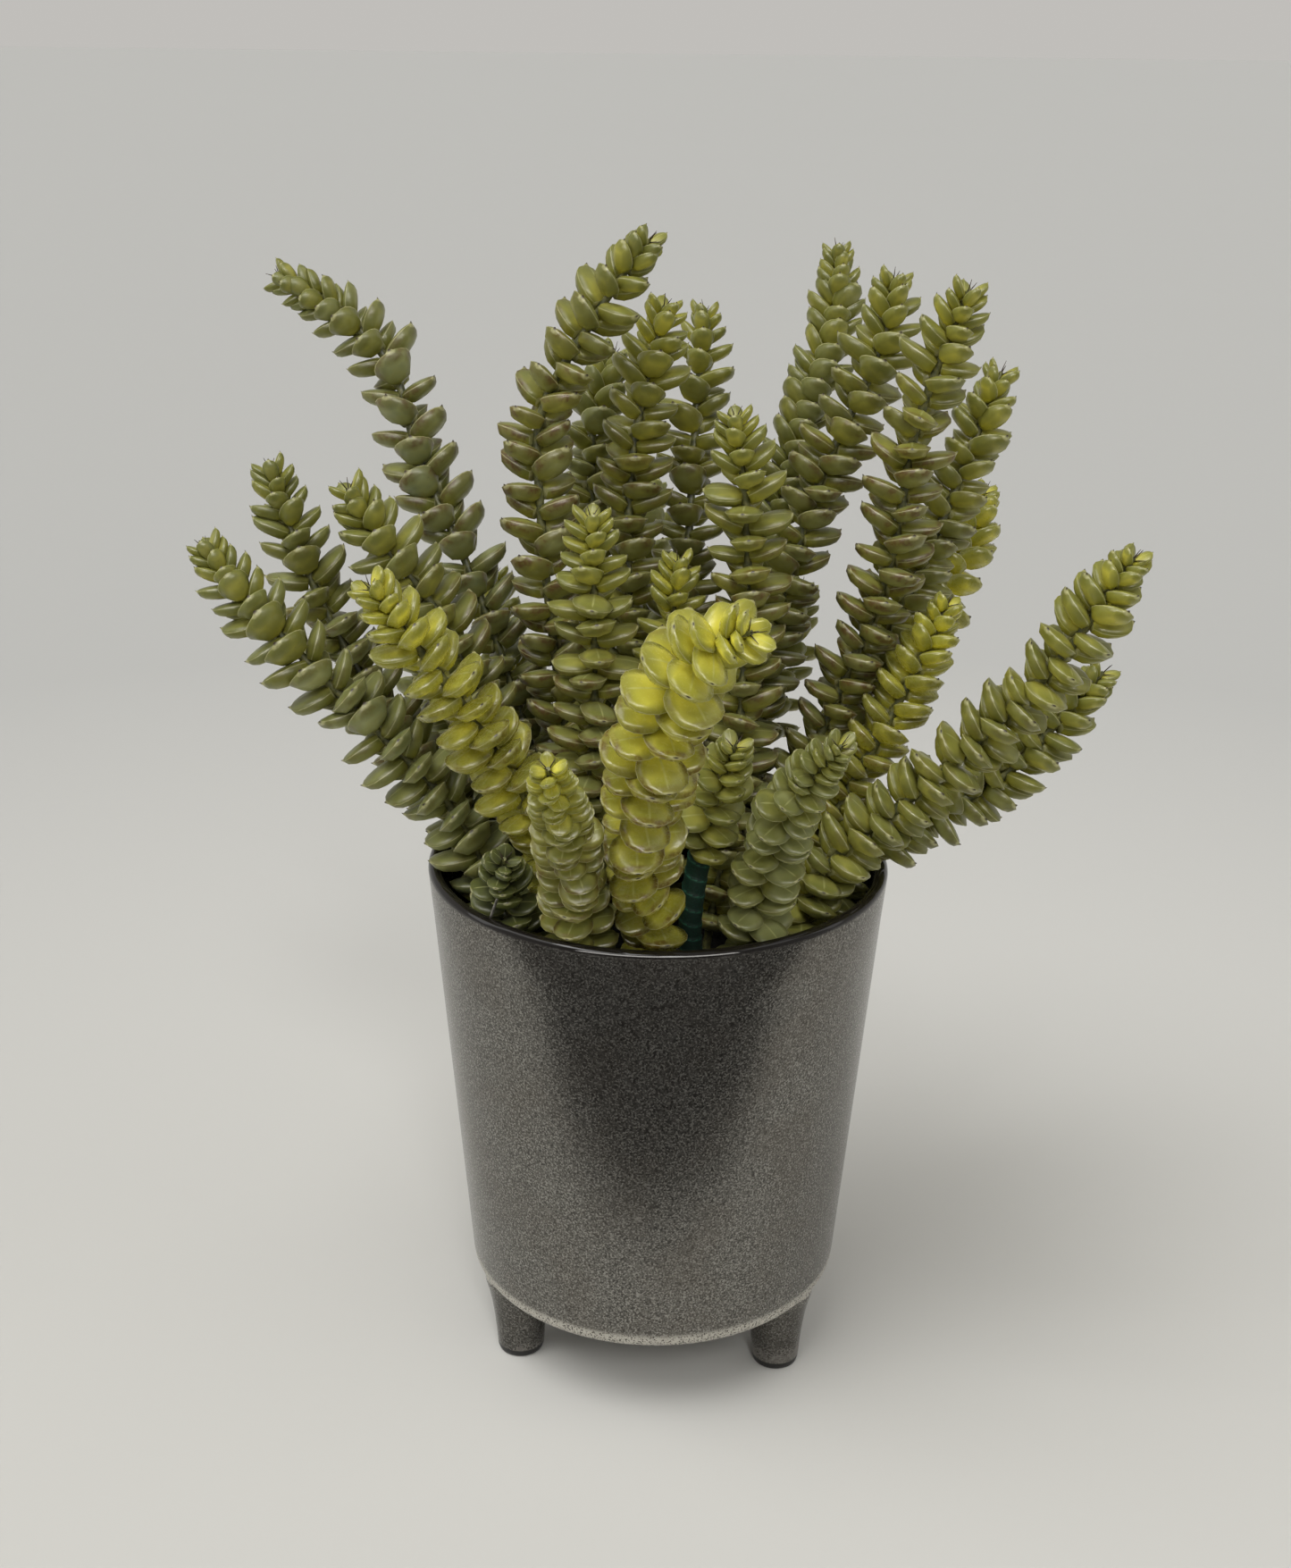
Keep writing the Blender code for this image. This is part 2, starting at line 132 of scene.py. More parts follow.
def layered(tree, colour, layers):
    """Lay each layer's colour over what is under it, by the product of its shares."""
    for top, share, *others in layers:
        for other in others:
            share = add(tree, MATH, (share, other), **TIMES)
        colour = add(tree, MIX, (share, colour, linear(top)), data_type="RGBA")
    return colour


def patterned(name, feeds, pattern, colours, relief=()):
    """A finish with one pattern, whose value picks the colour and, for some, lifts the surface."""
    finish, tree, shader = new_finish(name, feeds)
    kind, size, details = pattern
    place = add(tree, COORDINATES).outputs["Object"]
    texture = add(tree, kind, {"Vector": place, "Scale": 1 / size, **details})
    colour = set_stops(add(tree, RAMP, (texture,)), colours)
    feed(shader, {"Base Color": colour})
    if relief:
        strength, depth = relief
        bump = add(tree, "ShaderNodeBump", {"Height": texture, "Strength": strength, "Distance": depth})
        feed(shader, {"Normal": bump})
    return finish, tree, shader, colour


# %% [markdown]
# ## How the meshes are made
# A flat or bare mesh comes straight from lists of points. A round one is built ring by ring, which is
# easier to follow than a cut-up primitive. What repeats is grown by Geometry Nodes, and their result
# is then frozen into a plain mesh, because a finished piece keeps no modifier.

# %% Tools for meshes and objects
def new_mesh(name, points, edges=(), faces=()):
    """A mesh from plain lists."""
    mesh = bpy.data.meshes.new(name)
    mesh.from_pydata(points, edges, faces)
    return mesh


def chain(points):
    """Edges that join each point to the next."""
    return [(number, number + 1) for number in range(len(points) - 1)]


def join_rings(bm, rings):
    """Faces between each ring of points and the next, with a point for a ring at a pole."""
    for low, high in zip(rings, rings[1:]):
        for side in range(len(low)):
            following = (side + 1) % len(low)
            corners = dict.fromkeys((low[side], low[following], high[following], high[side]))
            if len(corners) > 2:
                bm.faces.new(list(corners))


def close_mesh(name, bm):
    """A mesh from a finished bmesh, with its faces turned outwards."""
    bmesh.ops.recalc_face_normals(bm, faces=bm.faces)
    mesh = bpy.data.meshes.new(name)
    bm.to_mesh(mesh)
    bm.free()
    return mesh


def new_object(name, data):
    """An object in the scene for a mesh, a light or the camera."""
    obj = bpy.data.objects.new(name, data)
    scene.collection.objects.link(obj)
    return obj


def freeze(obj):
    """Turn what the modifiers make into the object's own plain mesh."""
    graph = bpy.context.evaluated_depsgraph_get()
    mesh = bpy.data.meshes.new_from_object(obj.evaluated_get(graph))
    obj.modifiers.clear()
    obj.data = mesh
    mesh.name = obj.name


def grow(obj, tree, sockets, values):
    """Add a Geometry Nodes modifier, set its inputs by their identifiers, and freeze the result."""
    modifier = obj.modifiers.new("Grow", "NODES")
    modifier.node_group = tree
    for name, value in values.items():
        modifier[sockets[name]] = value
    freeze(obj)


def new_tree(name, inputs):
    """A Geometry Nodes tree with its named inputs: returns the tree, its input node, and identifiers."""
    tree = bpy.data.node_groups.new(name, "GeometryNodeTree")
    tree.interface.new_socket("Geometry", in_out="INPUT", socket_type="NodeSocketGeometry")
    tree.interface.new_socket("Geometry", in_out="OUTPUT", socket_type="NodeSocketGeometry")
    sockets = {}
    for label, kind, default in inputs:
        socket = tree.interface.new_socket(label, in_out="INPUT", socket_type=kind)
        if default is not None:
            socket.default_value = default
        sockets[label] = socket.identifier
    return tree, tree.nodes.new("NodeGroupInput"), sockets


# %% [markdown]
# ## The camera
# The photograph was taken from the front and a little above, at about half a metre. The camera
# stands where the pot's rim, base and feet line up with the picture, and it is rolled by the same
# small angle.

# %% Set the camera
CAMERA_PLACE = Vector((-3.5, -470.4, 341.9)) * MM
CAMERA_AIM = Vector((-3.5, 0, 161)) * MM
CAMERA_LENS = 44.72
CAMERA_ROLL = 0.63

camera = new_object("camera", bpy.data.cameras.new("camera"))
camera.data.sensor_width = 36
camera.data.lens = CAMERA_LENS
camera.location = CAMERA_PLACE
camera.rotation_mode = "QUATERNION"
towards = (CAMERA_AIM - CAMERA_PLACE).to_track_quat("-Z", "Y")
camera.rotation_quaternion = towards @ Quaternion((0, 0, 1), math.radians(CAMERA_ROLL))
scene.camera = camera
print("camera lens in mm:", camera.data.lens)

# %% [markdown]
# ## The floor
# The object stands on a plain pale surface that reaches the horizon, so one flat square is enough.
# In the photograph it is brightest in front of the pot and a little darker far away, so the paper's
# colour fades with the distance from that bright spot, which is a painted pool of light.

# %% Make the floor
FLOOR_REACH = 40
BRIGHT_SPOT = Vector((0, -0.1, 0))
FADE_START = 0.2
FADE_END = 0.75
PALE_PAPER = "#cecdc8"
PAINTED_DIM_PAPER = "#b8b8b5"

# Uncoated paper: matt, with hardly any shine.
paper_finish, tree, shader = new_finish("pale_paper", {"Roughness": 0.9, "Specular IOR Level": 0.1})
place = add(tree, COORDINATES).outputs["Object"]
from_spot = add(tree, "ShaderNodeVectorMath", (place, BRIGHT_SPOT), operation="DISTANCE")
# Painted light: the paper turns to the darker colour away from the bright spot.
away = add(tree, RANGE, (from_spot, FADE_START, FADE_END))
feed(shader, {"Base Color": layered(tree, linear(PALE_PAPER), ((PAINTED_DIM_PAPER, away),))})
corners = [(FLOOR_REACH * x, FLOOR_REACH * y, 0) for x, y in ((-1, -1), (1, -1), (1, 1), (-1, 1))]
floor = new_object("floor", new_mesh("floor", corners, faces=[(0, 1, 2, 3)]))
floor.data.materials.append(paper_finish)
print("floor in m:", 2 * FLOOR_REACH)

# %% [markdown]
# ## The light
# Suns with a wide disc give soft shadows and light the floor evenly as far as the horizon, and one
# narrower sun adds the light of a window in front. The world around is plain and pale on every side,
# brightest along the horizon, where it meets the floor in one tone.

# %% Set the suns and the world
SUNS = {
    "left_sun": (-84, 38, 0.62, 50),
    "right_sun": (78, 34, 0.34, 50),
    "top_sun": (-42, 66, 1.36, 36),
    "window_sun": (8, 42, 0.54, 12),
}
HORIZON_STRENGTH = 0.53
ABOVE_STRENGTH = 0.38
WORLD_COLOUR = "#fffcf7"
FALL_START, FALL_END = 0.03, 0.25

for name, (azimuth, elevation, strength, disc) in SUNS.items():
    sun = new_object(name, bpy.data.lights.new(name, "SUN"))
    sun.data.energy = strength
    sun.data.angle = math.radians(disc)
    turn = math.radians(azimuth)
    height = math.radians(elevation)
    level = math.cos(height)
    out = Vector((math.sin(turn) * level, -math.cos(turn) * level, math.sin(height)))
    sun.rotation_euler = (-out).to_track_quat("-Z", "Y").to_euler()


def pale_level(tree, direction):
    """The world's strength in a direction, which falls off above the horizon."""
    height = add(tree, "ShaderNodeSeparateXYZ", (direction,)).outputs["Z"]
    return add(tree, RANGE, (height, FALL_START, FALL_END, HORIZON_STRENGTH, ABOVE_STRENGTH))


world = bpy.data.worlds.new("soft_room")
world.use_nodes = True
scene.world = world
room = world.node_tree
look = add(room, COORDINATES).outputs["Generated"]
feed(room.nodes["Background"], {"Color": linear(WORLD_COLOUR), "Strength": pale_level(room, look)})
print("suns:", len(SUNS))

# %% [markdown]
# ## What the glaze mirrors
# The pot is glossy, so what stood in front of it shows on it: the table ended there, and the room
# behind the camera was dark. A mat on the floor, as pale as the floor at its near edge and dark further
# off, and a tall curved screen stand for that. They could be real dark walls, but those would swallow
# the light too, so only reflections see them.

# %% Lay the dark mat
MAT_NEAR = 0.1
MAT_DARK = 0.145
MAT_FAR = 4
MAT_HALF_WIDTH = 3
MAT_LIFT = 2 * MM


def seen_in_reflections(mesh, finish):
    """Put in a mesh that only reflections see."""
    mesh.materials.append(finish)
    made = new_object(mesh.name, mesh)
    made.visible_camera = False
    made.visible_diffuse = False
    made.visible_shadow = False


# Painted reflection: a dead matt sheet for the dark room in front, seen as a tone and nothing else.
dark_reflection_finish, tree, shader = new_finish("dark_felt", {"Roughness": 0.9})
place = add(tree, COORDINATES).outputs["Object"]
towards_front = add(tree, "ShaderNodeSeparateXYZ", (place,)).outputs["Y"]
# Painted reflection of the dark room: pale at the near edge, dark further off.
away = add(tree, RANGE, (towards_front, -MAT_NEAR, -MAT_DARK))
feed(shader, {"Base Color": layered(tree, linear(PALE_PAPER), (("#1f1d1c", away),))})
mat_corners = ((-1, MAT_FAR), (1, MAT_FAR), (1, MAT_NEAR), (-1, MAT_NEAR))
mat_points = [(side * MAT_HALF_WIDTH, -far, MAT_LIFT) for side, far in mat_corners]
seen_in_reflections(new_mesh("dark_front_floor", mat_points, faces=[(0, 1, 2, 3)]), dark_reflection_finish)
print("mat in m:", 2 * MAT_HALF_WIDTH, "by", MAT_FAR - MAT_NEAR)

# %% [markdown]
# ## The dark room and its window, painted into the reflections
# The screen glows as faintly as the dark room did, and at its two ends as brightly as the world, so
# that its edges don't show on the pot: it is a painted reflection of the dark room. A long pale panel
# for a window above the camera draws the thin bright line on the pot's lip, a painted glint. Both
# only glow, so they need no shader for a surface.

# %% Stand up the screen and the window
SCREEN_RADIUS = 6
SCREEN_SIDES = 24
SCREEN_DARKEST = 0.1
DARK_AHEAD = -0.95
PALE_SIDEWAYS = -0.1
WINDOW_STRENGTH = 9
WINDOW_PLACE = -4.6
WINDOW_LEFT, WINDOW_RIGHT = -3.8, 4.6
WINDOW_FOOT, WINDOW_HEAD = 2.4, 4.6


def new_glow(name):
    """A material that only glows, with its tree and its light."""
    finish, tree, shader = new_finish(name, {})
    tree.nodes.remove(shader)
    light = add(tree, "ShaderNodeEmission", {"Color": linear(WORLD_COLOUR)})
    feed(tree.nodes["Material Output"], {"Surface": light})
    return finish, tree, light


# Painted reflection: the screen's glow stands for the dark room, and only reflections see it.
painted_room_reflection, tree, light = new_glow("dark_room_glow")
place = add(tree, COORDINATES).outputs["Object"]
outwards = add(tree, "ShaderNodeVectorMath", (place,), operation="NORMALIZE").outputs["Vector"]
ahead = add(tree, "ShaderNodeSeparateXYZ", (outwards,)).outputs["Y"]
darkest = SCREEN_DARKEST / HORIZON_STRENGTH
shade = add(tree, RANGE, (ahead, DARK_AHEAD, PALE_SIDEWAYS, darkest, 1.0))
feed(light, {"Strength": add(tree, MATH, (shade, pale_level(tree, outwards)), **TIMES)})
arc = [math.pi * side / SCREEN_SIDES for side in range(SCREEN_SIDES + 1)]
foot = [(SCREEN_RADIUS * math.cos(turn), -SCREEN_RADIUS * math.sin(turn), 0) for turn in arc]
head = [(x, y, SCREEN_RADIUS) for x, y, z in foot]
panels = [(side, side + 1, len(arc) + side + 1, len(arc) + side) for side in range(SCREEN_SIDES)]
seen_in_reflections(new_mesh("dark_room_screen", foot + head, faces=panels), painted_room_reflection)

# Painted glint: this panel glows for a window, and only reflections see it.
window_glow, tree, light = new_glow("window_glow")
feed(light, {"Strength": WINDOW_STRENGTH})
pane = [(x, WINDOW_PLACE, z) for z in (WINDOW_FOOT, WINDOW_HEAD) for x in (WINDOW_LEFT, WINDOW_RIGHT)]
seen_in_reflections(new_mesh("room_window", pane, faces=[(0, 1, 3, 2)]), window_glow)
print("panels in the screen:", len(panels))

# %% [markdown]
# ## The stems' routes and habits
# A stem could be drawn freehand, but the solids already hold each one's place, so the routes here are
# the same points, joined by one smooth curve. A habit says how a stem carries its leaves:
# how far down from the tip they are full grown, how far apart the pairs are, and how steeply they
# stand. Two numbers give the leaf colour at the tip and at the root, from grey-green at 0 to lime at 1,
# and a third says how brown-red the margins of the leaves are.

# %% Name the habits and list the stems
Habit = namedtuple("Habit", "ripe_mm pitch_mm tilt settle_mm plump")
OPEN = Habit(18, 3.9, 15, 28, 0.9)
LOOSE = Habit(18, 4.7, 17, 34, 1)
AIRY = Habit(38, 4.7, 18, 34, 0.95)
DENSE = Habit(20, 3.3, 5, 26, 0.92)
LONG_TIP = Habit(27, 3.9, 16, 36, 0.9)
UPRIGHT = Habit(18, 3.0, 30, 30, 0.9)
SCALES = Habit(16, 3.6, 8, 26, 0.82)
ROUND = Habit(34, 3.7, 14, 30, 0.84)
BEADS = Habit(70, 3.3, 10, 24, 0.85)

Stem = namedtuple("Stem", "turn leaf_scale broad habit tip_lime root_lime blush route_mm")
STEMS = {
    "stem_front_lime": Stem(20, 1.08, 1.12, SCALES, 1.12, 0.86, 0.62, (
        (-3, -31, 118), (-1, -41, 143), (-6, -50, 158), (-5, -63, 178),
        (2, -86, 214), (9, -97, 228), (17, -104, 233),
    )),
    "stem_front_left": Stem(0, 0.95, 1.1, BEADS, 0.94, 0.42, 0.5, (
        (-18, -38, 118), (-19, -48, 150), (-21, -64, 172), (-24, -88, 198),
    )),
    "stem_front_right": Stem(45, 0.9, 1.04, ROUND, 0.54, 0.24, 0.15, (
        (23, -35, 118), (24, -43, 148), (30, -60, 180), (39, -72, 198),
    )),
    "stem_front_small": Stem(25, 0.86, 1.1, SCALES, 0.62, 0.5, 0.3, (
        (9, -27, 118), (8, -34, 140), (11, -39, 164), (17, -50, 190),
    )),
    # Painted shade: this stem stands in the pot's shade by the left rim, so its limes below 0 take the
    # darkest leaf colour.
    "stem_rim_left": Stem(0, 0.82, 1.1, OPEN, -0.5, -1.0, 0.1, (
        (-32, -25, 118), (-38, -34, 146), (-37, -43, 158),
    )),
    "stem_left_bright": Stem(40, 1.02, 1.08, OPEN, 0.86, 0.84, 0.35, (
        (-20, -20, 118), (-29, -26, 157), (-45, -37, 192), (-66, -48, 226),
    )),
    "stem_left_low": Stem(20, 1.05, 1.1, LONG_TIP, 0.55, 0.24, 0.2, (
        (-39, -9, 118), (-50, -10, 153), (-73, -13, 182), (-100, -14, 212), (-110, -14, 226),
    )),
    "stem_left_outer": Stem(20, 1.06, 1, LONG_TIP, 0.52, 0.24, 0.5, (
        (-39, 9, 118), (-53, 12, 150), (-77, 13, 184), (-91, 14, 214), (-99, 16, 239),
    )),
    "stem_left_inner": Stem(30, 1.05, 1.08, OPEN, 0.6, 0.3, 0.5, (
        (-26, 1, 118), (-38, 2, 160), (-55, 2, 203), (-68, 0, 222), (-77, -2, 238),
    )),
    "stem_left_tall": Stem(0, 1.04, 1.05, AIRY, 0.46, 0.24, 0.5, (
        (-24, 21, 118), (-34, 25, 160), (-49, 32, 204), (-64, 41, 236),
        (-71, 46, 259), (-85, 50, 273), (-101, 52, 282),
    )),
    "stem_left_back": Stem(35, 0.95, 1, OPEN, 0.5, 0.2, 0.2, (
        (-36, 21, 118), (-42, 27, 142), (-57, 40, 164), (-71, 53, 186),
    )),
    "stem_mid_arching": Stem(42, 1, 0.97, LOOSE, 0.58, 0.42, 0.7, (
        (-13, 9, 118), (-25, 11, 175), (-31, 15, 231),
        (-30, 17, 255), (-16, 16, 279), (-4, 14, 296),
    )),
    "stem_mid_front": Stem(0, 1, 1, DENSE, 0.72, 0.34, 0.6, (
        (-12, -8, 118), (-17, -13, 160), (-16, -17, 200), (-17, -20, 236),
    )),
    "stem_mid_tall": Stem(15, 1.02, 1, OPEN, 0.72, 0.42, 0.5, (
        (-6, 20, 118), (-8, 24, 190), (-8, 29, 238), (0, 34, 278),
    )),
    "stem_mid_left_back": Stem(30, 0.95, 1, OPEN, 0.5, 0.25, 0.4, (
        (-14, 33, 118), (-17, 43, 180), (-19, 52, 238), (-13, 60, 262),
    )),
    "stem_mid_right_back": Stem(-20, 0.98, 1, OPEN, 0.6, 0.42, 0.4, (
        (2, 33, 118), (6, 40, 185), (9, 55, 246), (11, 62, 273),
    )),
    "stem_mid_short": Stem(10, 0.95, 1, OPEN, 0.78, 0.48, 0.5, (
        (1, 3, 118), (1, 2, 170), (4, 2, 220),
    )),
    "stem_mid_right": Stem(0, 1, 1.02, OPEN, 0.68, 0.4, 0.6, (
        (13, -7, 118), (20, -3, 175), (21, -1, 225), (17, -4, 257),
    )),
    "stem_right_low": Stem(20, 0.95, 1.12, OPEN, 0.72, 0.5, 0.2, (
        (34, -20, 118), (41, -22, 146), (68, -28, 175), (91, -35, 204), (106, -42, 233),
    )),
    "stem_right_lower": Stem(30, 0.95, 1.1, OPEN, 0.6, 0.4, 0.2, (
        (40, -3, 118), (50, -4, 139), (66, -4, 153), (88, -3, 165), (111, -4, 194),
    )),
    "stem_right_yellow": Stem(30, 0.95, 1.05, OPEN, 0.95, 0.6, 0.5, (
        (29, 1, 118), (45, 2, 150), (62, 3, 185), (72, 4, 209),
    )),
    "stem_right_tall": Stem(15, 1, 1, OPEN, 0.68, 0.42, 0.65, (
        (26, 15, 118), (40, 11, 165), (57, 9, 215), (62, 8, 252), (72, 4, 286),
    )),
    "stem_right_tall_mid": Stem(20, 1.04, 1, OPEN, 0.64, 0.36, 0.5, (
        (13, 18, 118), (25, 25, 175), (40, 31, 231), (55, 35, 266), (58, 36, 285),
    )),
    "stem_right_tall_back": Stem(5, 0.84, 1, UPRIGHT, 0.58, 0.34, 0.15, (
        (14, 31, 118), (24, 42, 185), (36, 52, 240), (46, 62, 272), (46, 66, 289),
    )),
    "stem_right_outer": Stem(30, 0.95, 1, OPEN, 0.66, 0.4, 0.3, (
        (38, 17, 118), (55, 27, 175), (76, 36, 228), (88, 42, 261),
    )),
    "stem_right_back": Stem(40, 0.95, 1.1, OPEN, 0.76, 0.72, 0.1, (
        (31, 30, 118), (37, 34, 142), (56, 45, 166), (79, 58, 195), (91, 71, 223),
    )),
    "stem_back_right": Stem(10, 0.95, 1.05, OPEN, 0.6, 0.4, 0.1, (
        (18, 41, 118), (23, 45, 142), (31, 56, 163), (41, 73, 194),
    )),
    "stem_back_mid": Stem(25, 0.95, 1, OPEN, 0.5, 0.3, 0.2, (
        (1, 45, 118), (1, 50, 142), (0, 61, 163), (-3, 82, 195), (-5, 104, 221),
    )),
    "stem_back_left": Stem(0, 0.95, 1, OPEN, 0.6, 0.3, 0.2, (
        (-26, 35, 118), (-30, 40, 142), (-39, 55, 162), (-47, 71, 185), (-48, 77, 196),
    )),
}
print("stems:", len(STEMS))

# %% [markdown]
# ## A route that can be measured
# Every piece on a stem needs to know where the stem is, which way it points and which way is
# sideways, at any length along it. A small class answers that from a dense line of points.

# %% Measure along a stem
ROUTE_STEP = 1 * MM
BEND_POINTS = 24
HANDLE_DIVISOR = 6


class Route:
    """A stem's centre line, with its directions at any length along it."""

    def __init__(self, stem):
        self.turn = math.radians(stem.turn)
        points = [Vector(point) * MM for point in stem.route_mm]
        ends = [2 * points[0] - points[1], *points, 2 * points[-1] - points[-2]]
        self.points = []
        for before, start, stop, after in zip(ends, ends[1:], ends[2:], ends[3:]):
            leaving = start + (stop - before) / HANDLE_DIVISOR
            arriving = stop - (after - start) / HANDLE_DIVISOR
            self.points += interpolate_bezier(start, leaving, arriving, stop, BEND_POINTS)[:-1]
        self.points.append(points[-1])
        self.lengths = [0.0]
        for start, stop in zip(self.points, self.points[1:]):
            self.lengths.append(self.lengths[-1] + (stop - start).length)
        self.length = self.lengths[-1]

    def place(self, along):
        """The point at a length along the route, which runs on straight past both ends."""
        if along <= 0:
            return self.points[0] + along * (self.points[1] - self.points[0]).normalized()
        if along >= self.length:
            last = (self.points[-1] - self.points[-2]).normalized()
            return self.points[-1] + (along - self.length) * last
        index = next(number for number, reached in enumerate(self.lengths) if reached >= along)
        share = (along - self.lengths[index - 1]) / (self.lengths[index] - self.lengths[index - 1])
        return self.points[index - 1].lerp(self.points[index], share)

    def axes(self, along):
        """Side, back and forward directions there, at right angles to each other."""
        forward = (self.place(along + ROUTE_STEP) - self.place(along - ROUTE_STEP)).normalized()
        side = Vector((0, 1, 0)).cross(forward).normalized()
        side.rotate(Quaternion(forward, self.turn))
        return side, forward.cross(side), forward


routes = {name: Route(stem) for name, stem in STEMS.items()}
print("stem length in all, in m:", round(sum(route.length for route in routes.values()), 2))

# %% [markdown]
# ## Where each leaf stands
# The leaves grow in pairs, and each pair crosses the one below it. Near the tip they are small,
# close together and almost upright, and further down they are full grown, further apart and nearly
# level. A leaf that would reach past the middle between two stems, or into the pot, is made smaller.

# %% Set out the pairs of leaves along a stem
LEAF_LENGTH = 10.2 * MM
LEAF_WIDTH = 9.7 * MM
LEAF_THICKNESS = 5.2 * MM
TIP_PITCH_MM = 1.3
PITCH_GROWTH = 1.35
TIP_SIZE = 0.44
TIP_GIRTH = 0.66
GIRTH_MM = 22
PITCH_SCATTER = 0.14
TIP_TILT = 51
TILT_EASE = 1.7
SIZE_EASE = 0.8
FIRST_PAIR = 1.6 * MM
BARE_FOOT = 7 * MM
BARE_FOOT_ON_STALK = 42 * MM
ON_STALK = "stem_front_small"


def pairs(name):
    """Length along the stem, size, width share and tilt of each pair, from the tip down."""
    stem = STEMS[name]
    route = routes[name]
    lowest = BARE_FOOT_ON_STALK if name == ON_STALK else BARE_FOOT
    from_tip = FIRST_PAIR
    chance = random.Random(name + " pitch")
    found = []
    while from_tip < route.length - lowest:
        grown = min(1.0, from_tip / (stem.habit.ripe_mm * MM))
        size = TIP_SIZE + (1 - TIP_SIZE) * grown ** SIZE_EASE
        girth = TIP_GIRTH + (1 - TIP_GIRTH) * min(1.0, from_tip / (GIRTH_MM * MM))
        settled = min(1.0, from_tip / (stem.habit.settle_mm * MM))
        tilt = stem.habit.tilt + (TIP_TILT - stem.habit.tilt) * (1 - settled) ** TILT_EASE
        found.append((route.length - from_tip, size * stem.leaf_scale, girth * stem.broad, tilt))
        pitch = TIP_PITCH_MM + (stem.habit.pitch_mm - TIP_PITCH_MM) * grown ** PITCH_GROWTH
        from_tip += pitch * MM * stem.leaf_scale * chance.uniform(1 - PITCH_SCATTER, 1 + PITCH_SCATTER)
    return found


print("pairs of leaves:", sum(len(pairs(name)) for name in STEMS))

# %% [markdown]
# ## Room for the leaves
# The test is the one that the solids were made with: each corner of a leaf stays nearer to its own
# stem than to any other, and clear of the pot's wall and the filling. A tree of points finds the
# nearest stem quickly.

# %% Test a leaf's corners against the other stems and the pot
RIM_RADIUS = 60 * MM
RIM_HEIGHT = 141.5 * MM
BASE_RADIUS = 50.3 * MM
LEG_HEIGHT = 23 * MM
WALL = 3.4 * MM
FILLING_TOP = 118 * MM
POT_CLEARANCE = 0.5 * MM
HALFWAY_GAP = 0.1 * MM
SHRINK_STEP = 0.9
SMALLEST_LEAF = 0.4
TIP_RISE = 0.3
BELLY_DEPTH = 0.7
DOME_HEIGHT = 0.2


def inner_wall_radius(height):
    """Radius of the pot's inner wall at a height."""
    share = (height - LEG_HEIGHT) / (RIM_HEIGHT - LEG_HEIGHT)
    return BASE_RADIUS + (RIM_RADIUS - BASE_RADIUS) * share - WALL


def clear_of_pot(point):
    """True for a point that is clear of the filling, the pot's wall and its lip."""
    radius = math.hypot(point.x, point.y)
    lip = Vector((radius - (RIM_RADIUS - WALL / 2), point.z - (RIM_HEIGHT - WALL / 2)))
    if lip.length < WALL / 2 + POT_CLEARANCE:
        return False
    if point.z < RIM_HEIGHT:
        inside = radius < inner_wall_radius(point.z) - POT_CLEARANCE
        return inside and point.z > FILLING_TOP + POT_CLEARANCE
    return True


def point_tree(points):
    """A tree that finds the nearest of the points."""
    tree = KDTree(len(points))
    for index, point in enumerate(points):
        tree.insert(point, index)
    tree.balance()
    return tree


def has_room(root, reach, rise, dims, own, others):
    """True where a leaf of those dimensions keeps to its own stem's space."""
    length, width, thickness = dims
    across = rise.cross(reach)
    middle = root + 0.5 * length * reach
    tip = root + length * reach + TIP_RISE * thickness * rise
    corners = [middle + side * 0.5 * width * across for side in (-1, 1)]
    corners += [middle - BELLY_DEPTH * thickness * rise, middle + DOME_HEIGHT * thickness * rise, tip]
    corners += [corner.lerp(tip, 0.5) for corner in corners[:3]]
    for corner in corners:
        if others.find(corner)[2] < own.find(corner)[2] + HALFWAY_GAP or not clear_of_pot(corner):
            return False
    return True


samples = {}
for name, route in routes.items():
    samples[name] = [route.place(step * ROUTE_STEP) for step in range(int(route.length / ROUTE_STEP) + 1)]
print("stem samples:", sum(len(points) for points in samples.values()))

# %% [markdown]
# ## A base for each stem
# Geometry Nodes will do the building, so each stem first gets a bare mesh that only holds the plan:
# a line of points along the stem, one loose point for each leaf, and one for each hair at the tip.
# What the nodes need to know about a point is stored on it as named attributes.

# %% Lay out one stem's points and their attributes
STEM_RADIUS = 1.15 * MM
STEM_POINT_STEP = 1.5 * MM
STEM_SUNK = 6 * MM
STEM_TAPER = 25 * MM
STEM_TIP_SHARE = 0.45
STALK_TOP_ALONG = 41 * MM
LEAF_ROOT_RADIUS = 0.7 * MM
LIME_FADE = 42 * MM
LINE, LEAF, HAIR = 0, 1, 2
# Each hair's place round the tip in radians, its length in millimetres and its lean in degrees.
HAIRS = ((0.6, 4.0, 34), (2.3, 3.4, 56), (4.1, 4.4, 16), (5.4, 3.6, 46))
HAIR_GIRTH_MM = 1.2
HAIR_SUNK = 1 * MM
PAIR_TWIST = 16
BLUSH_FADE = 45 * MM


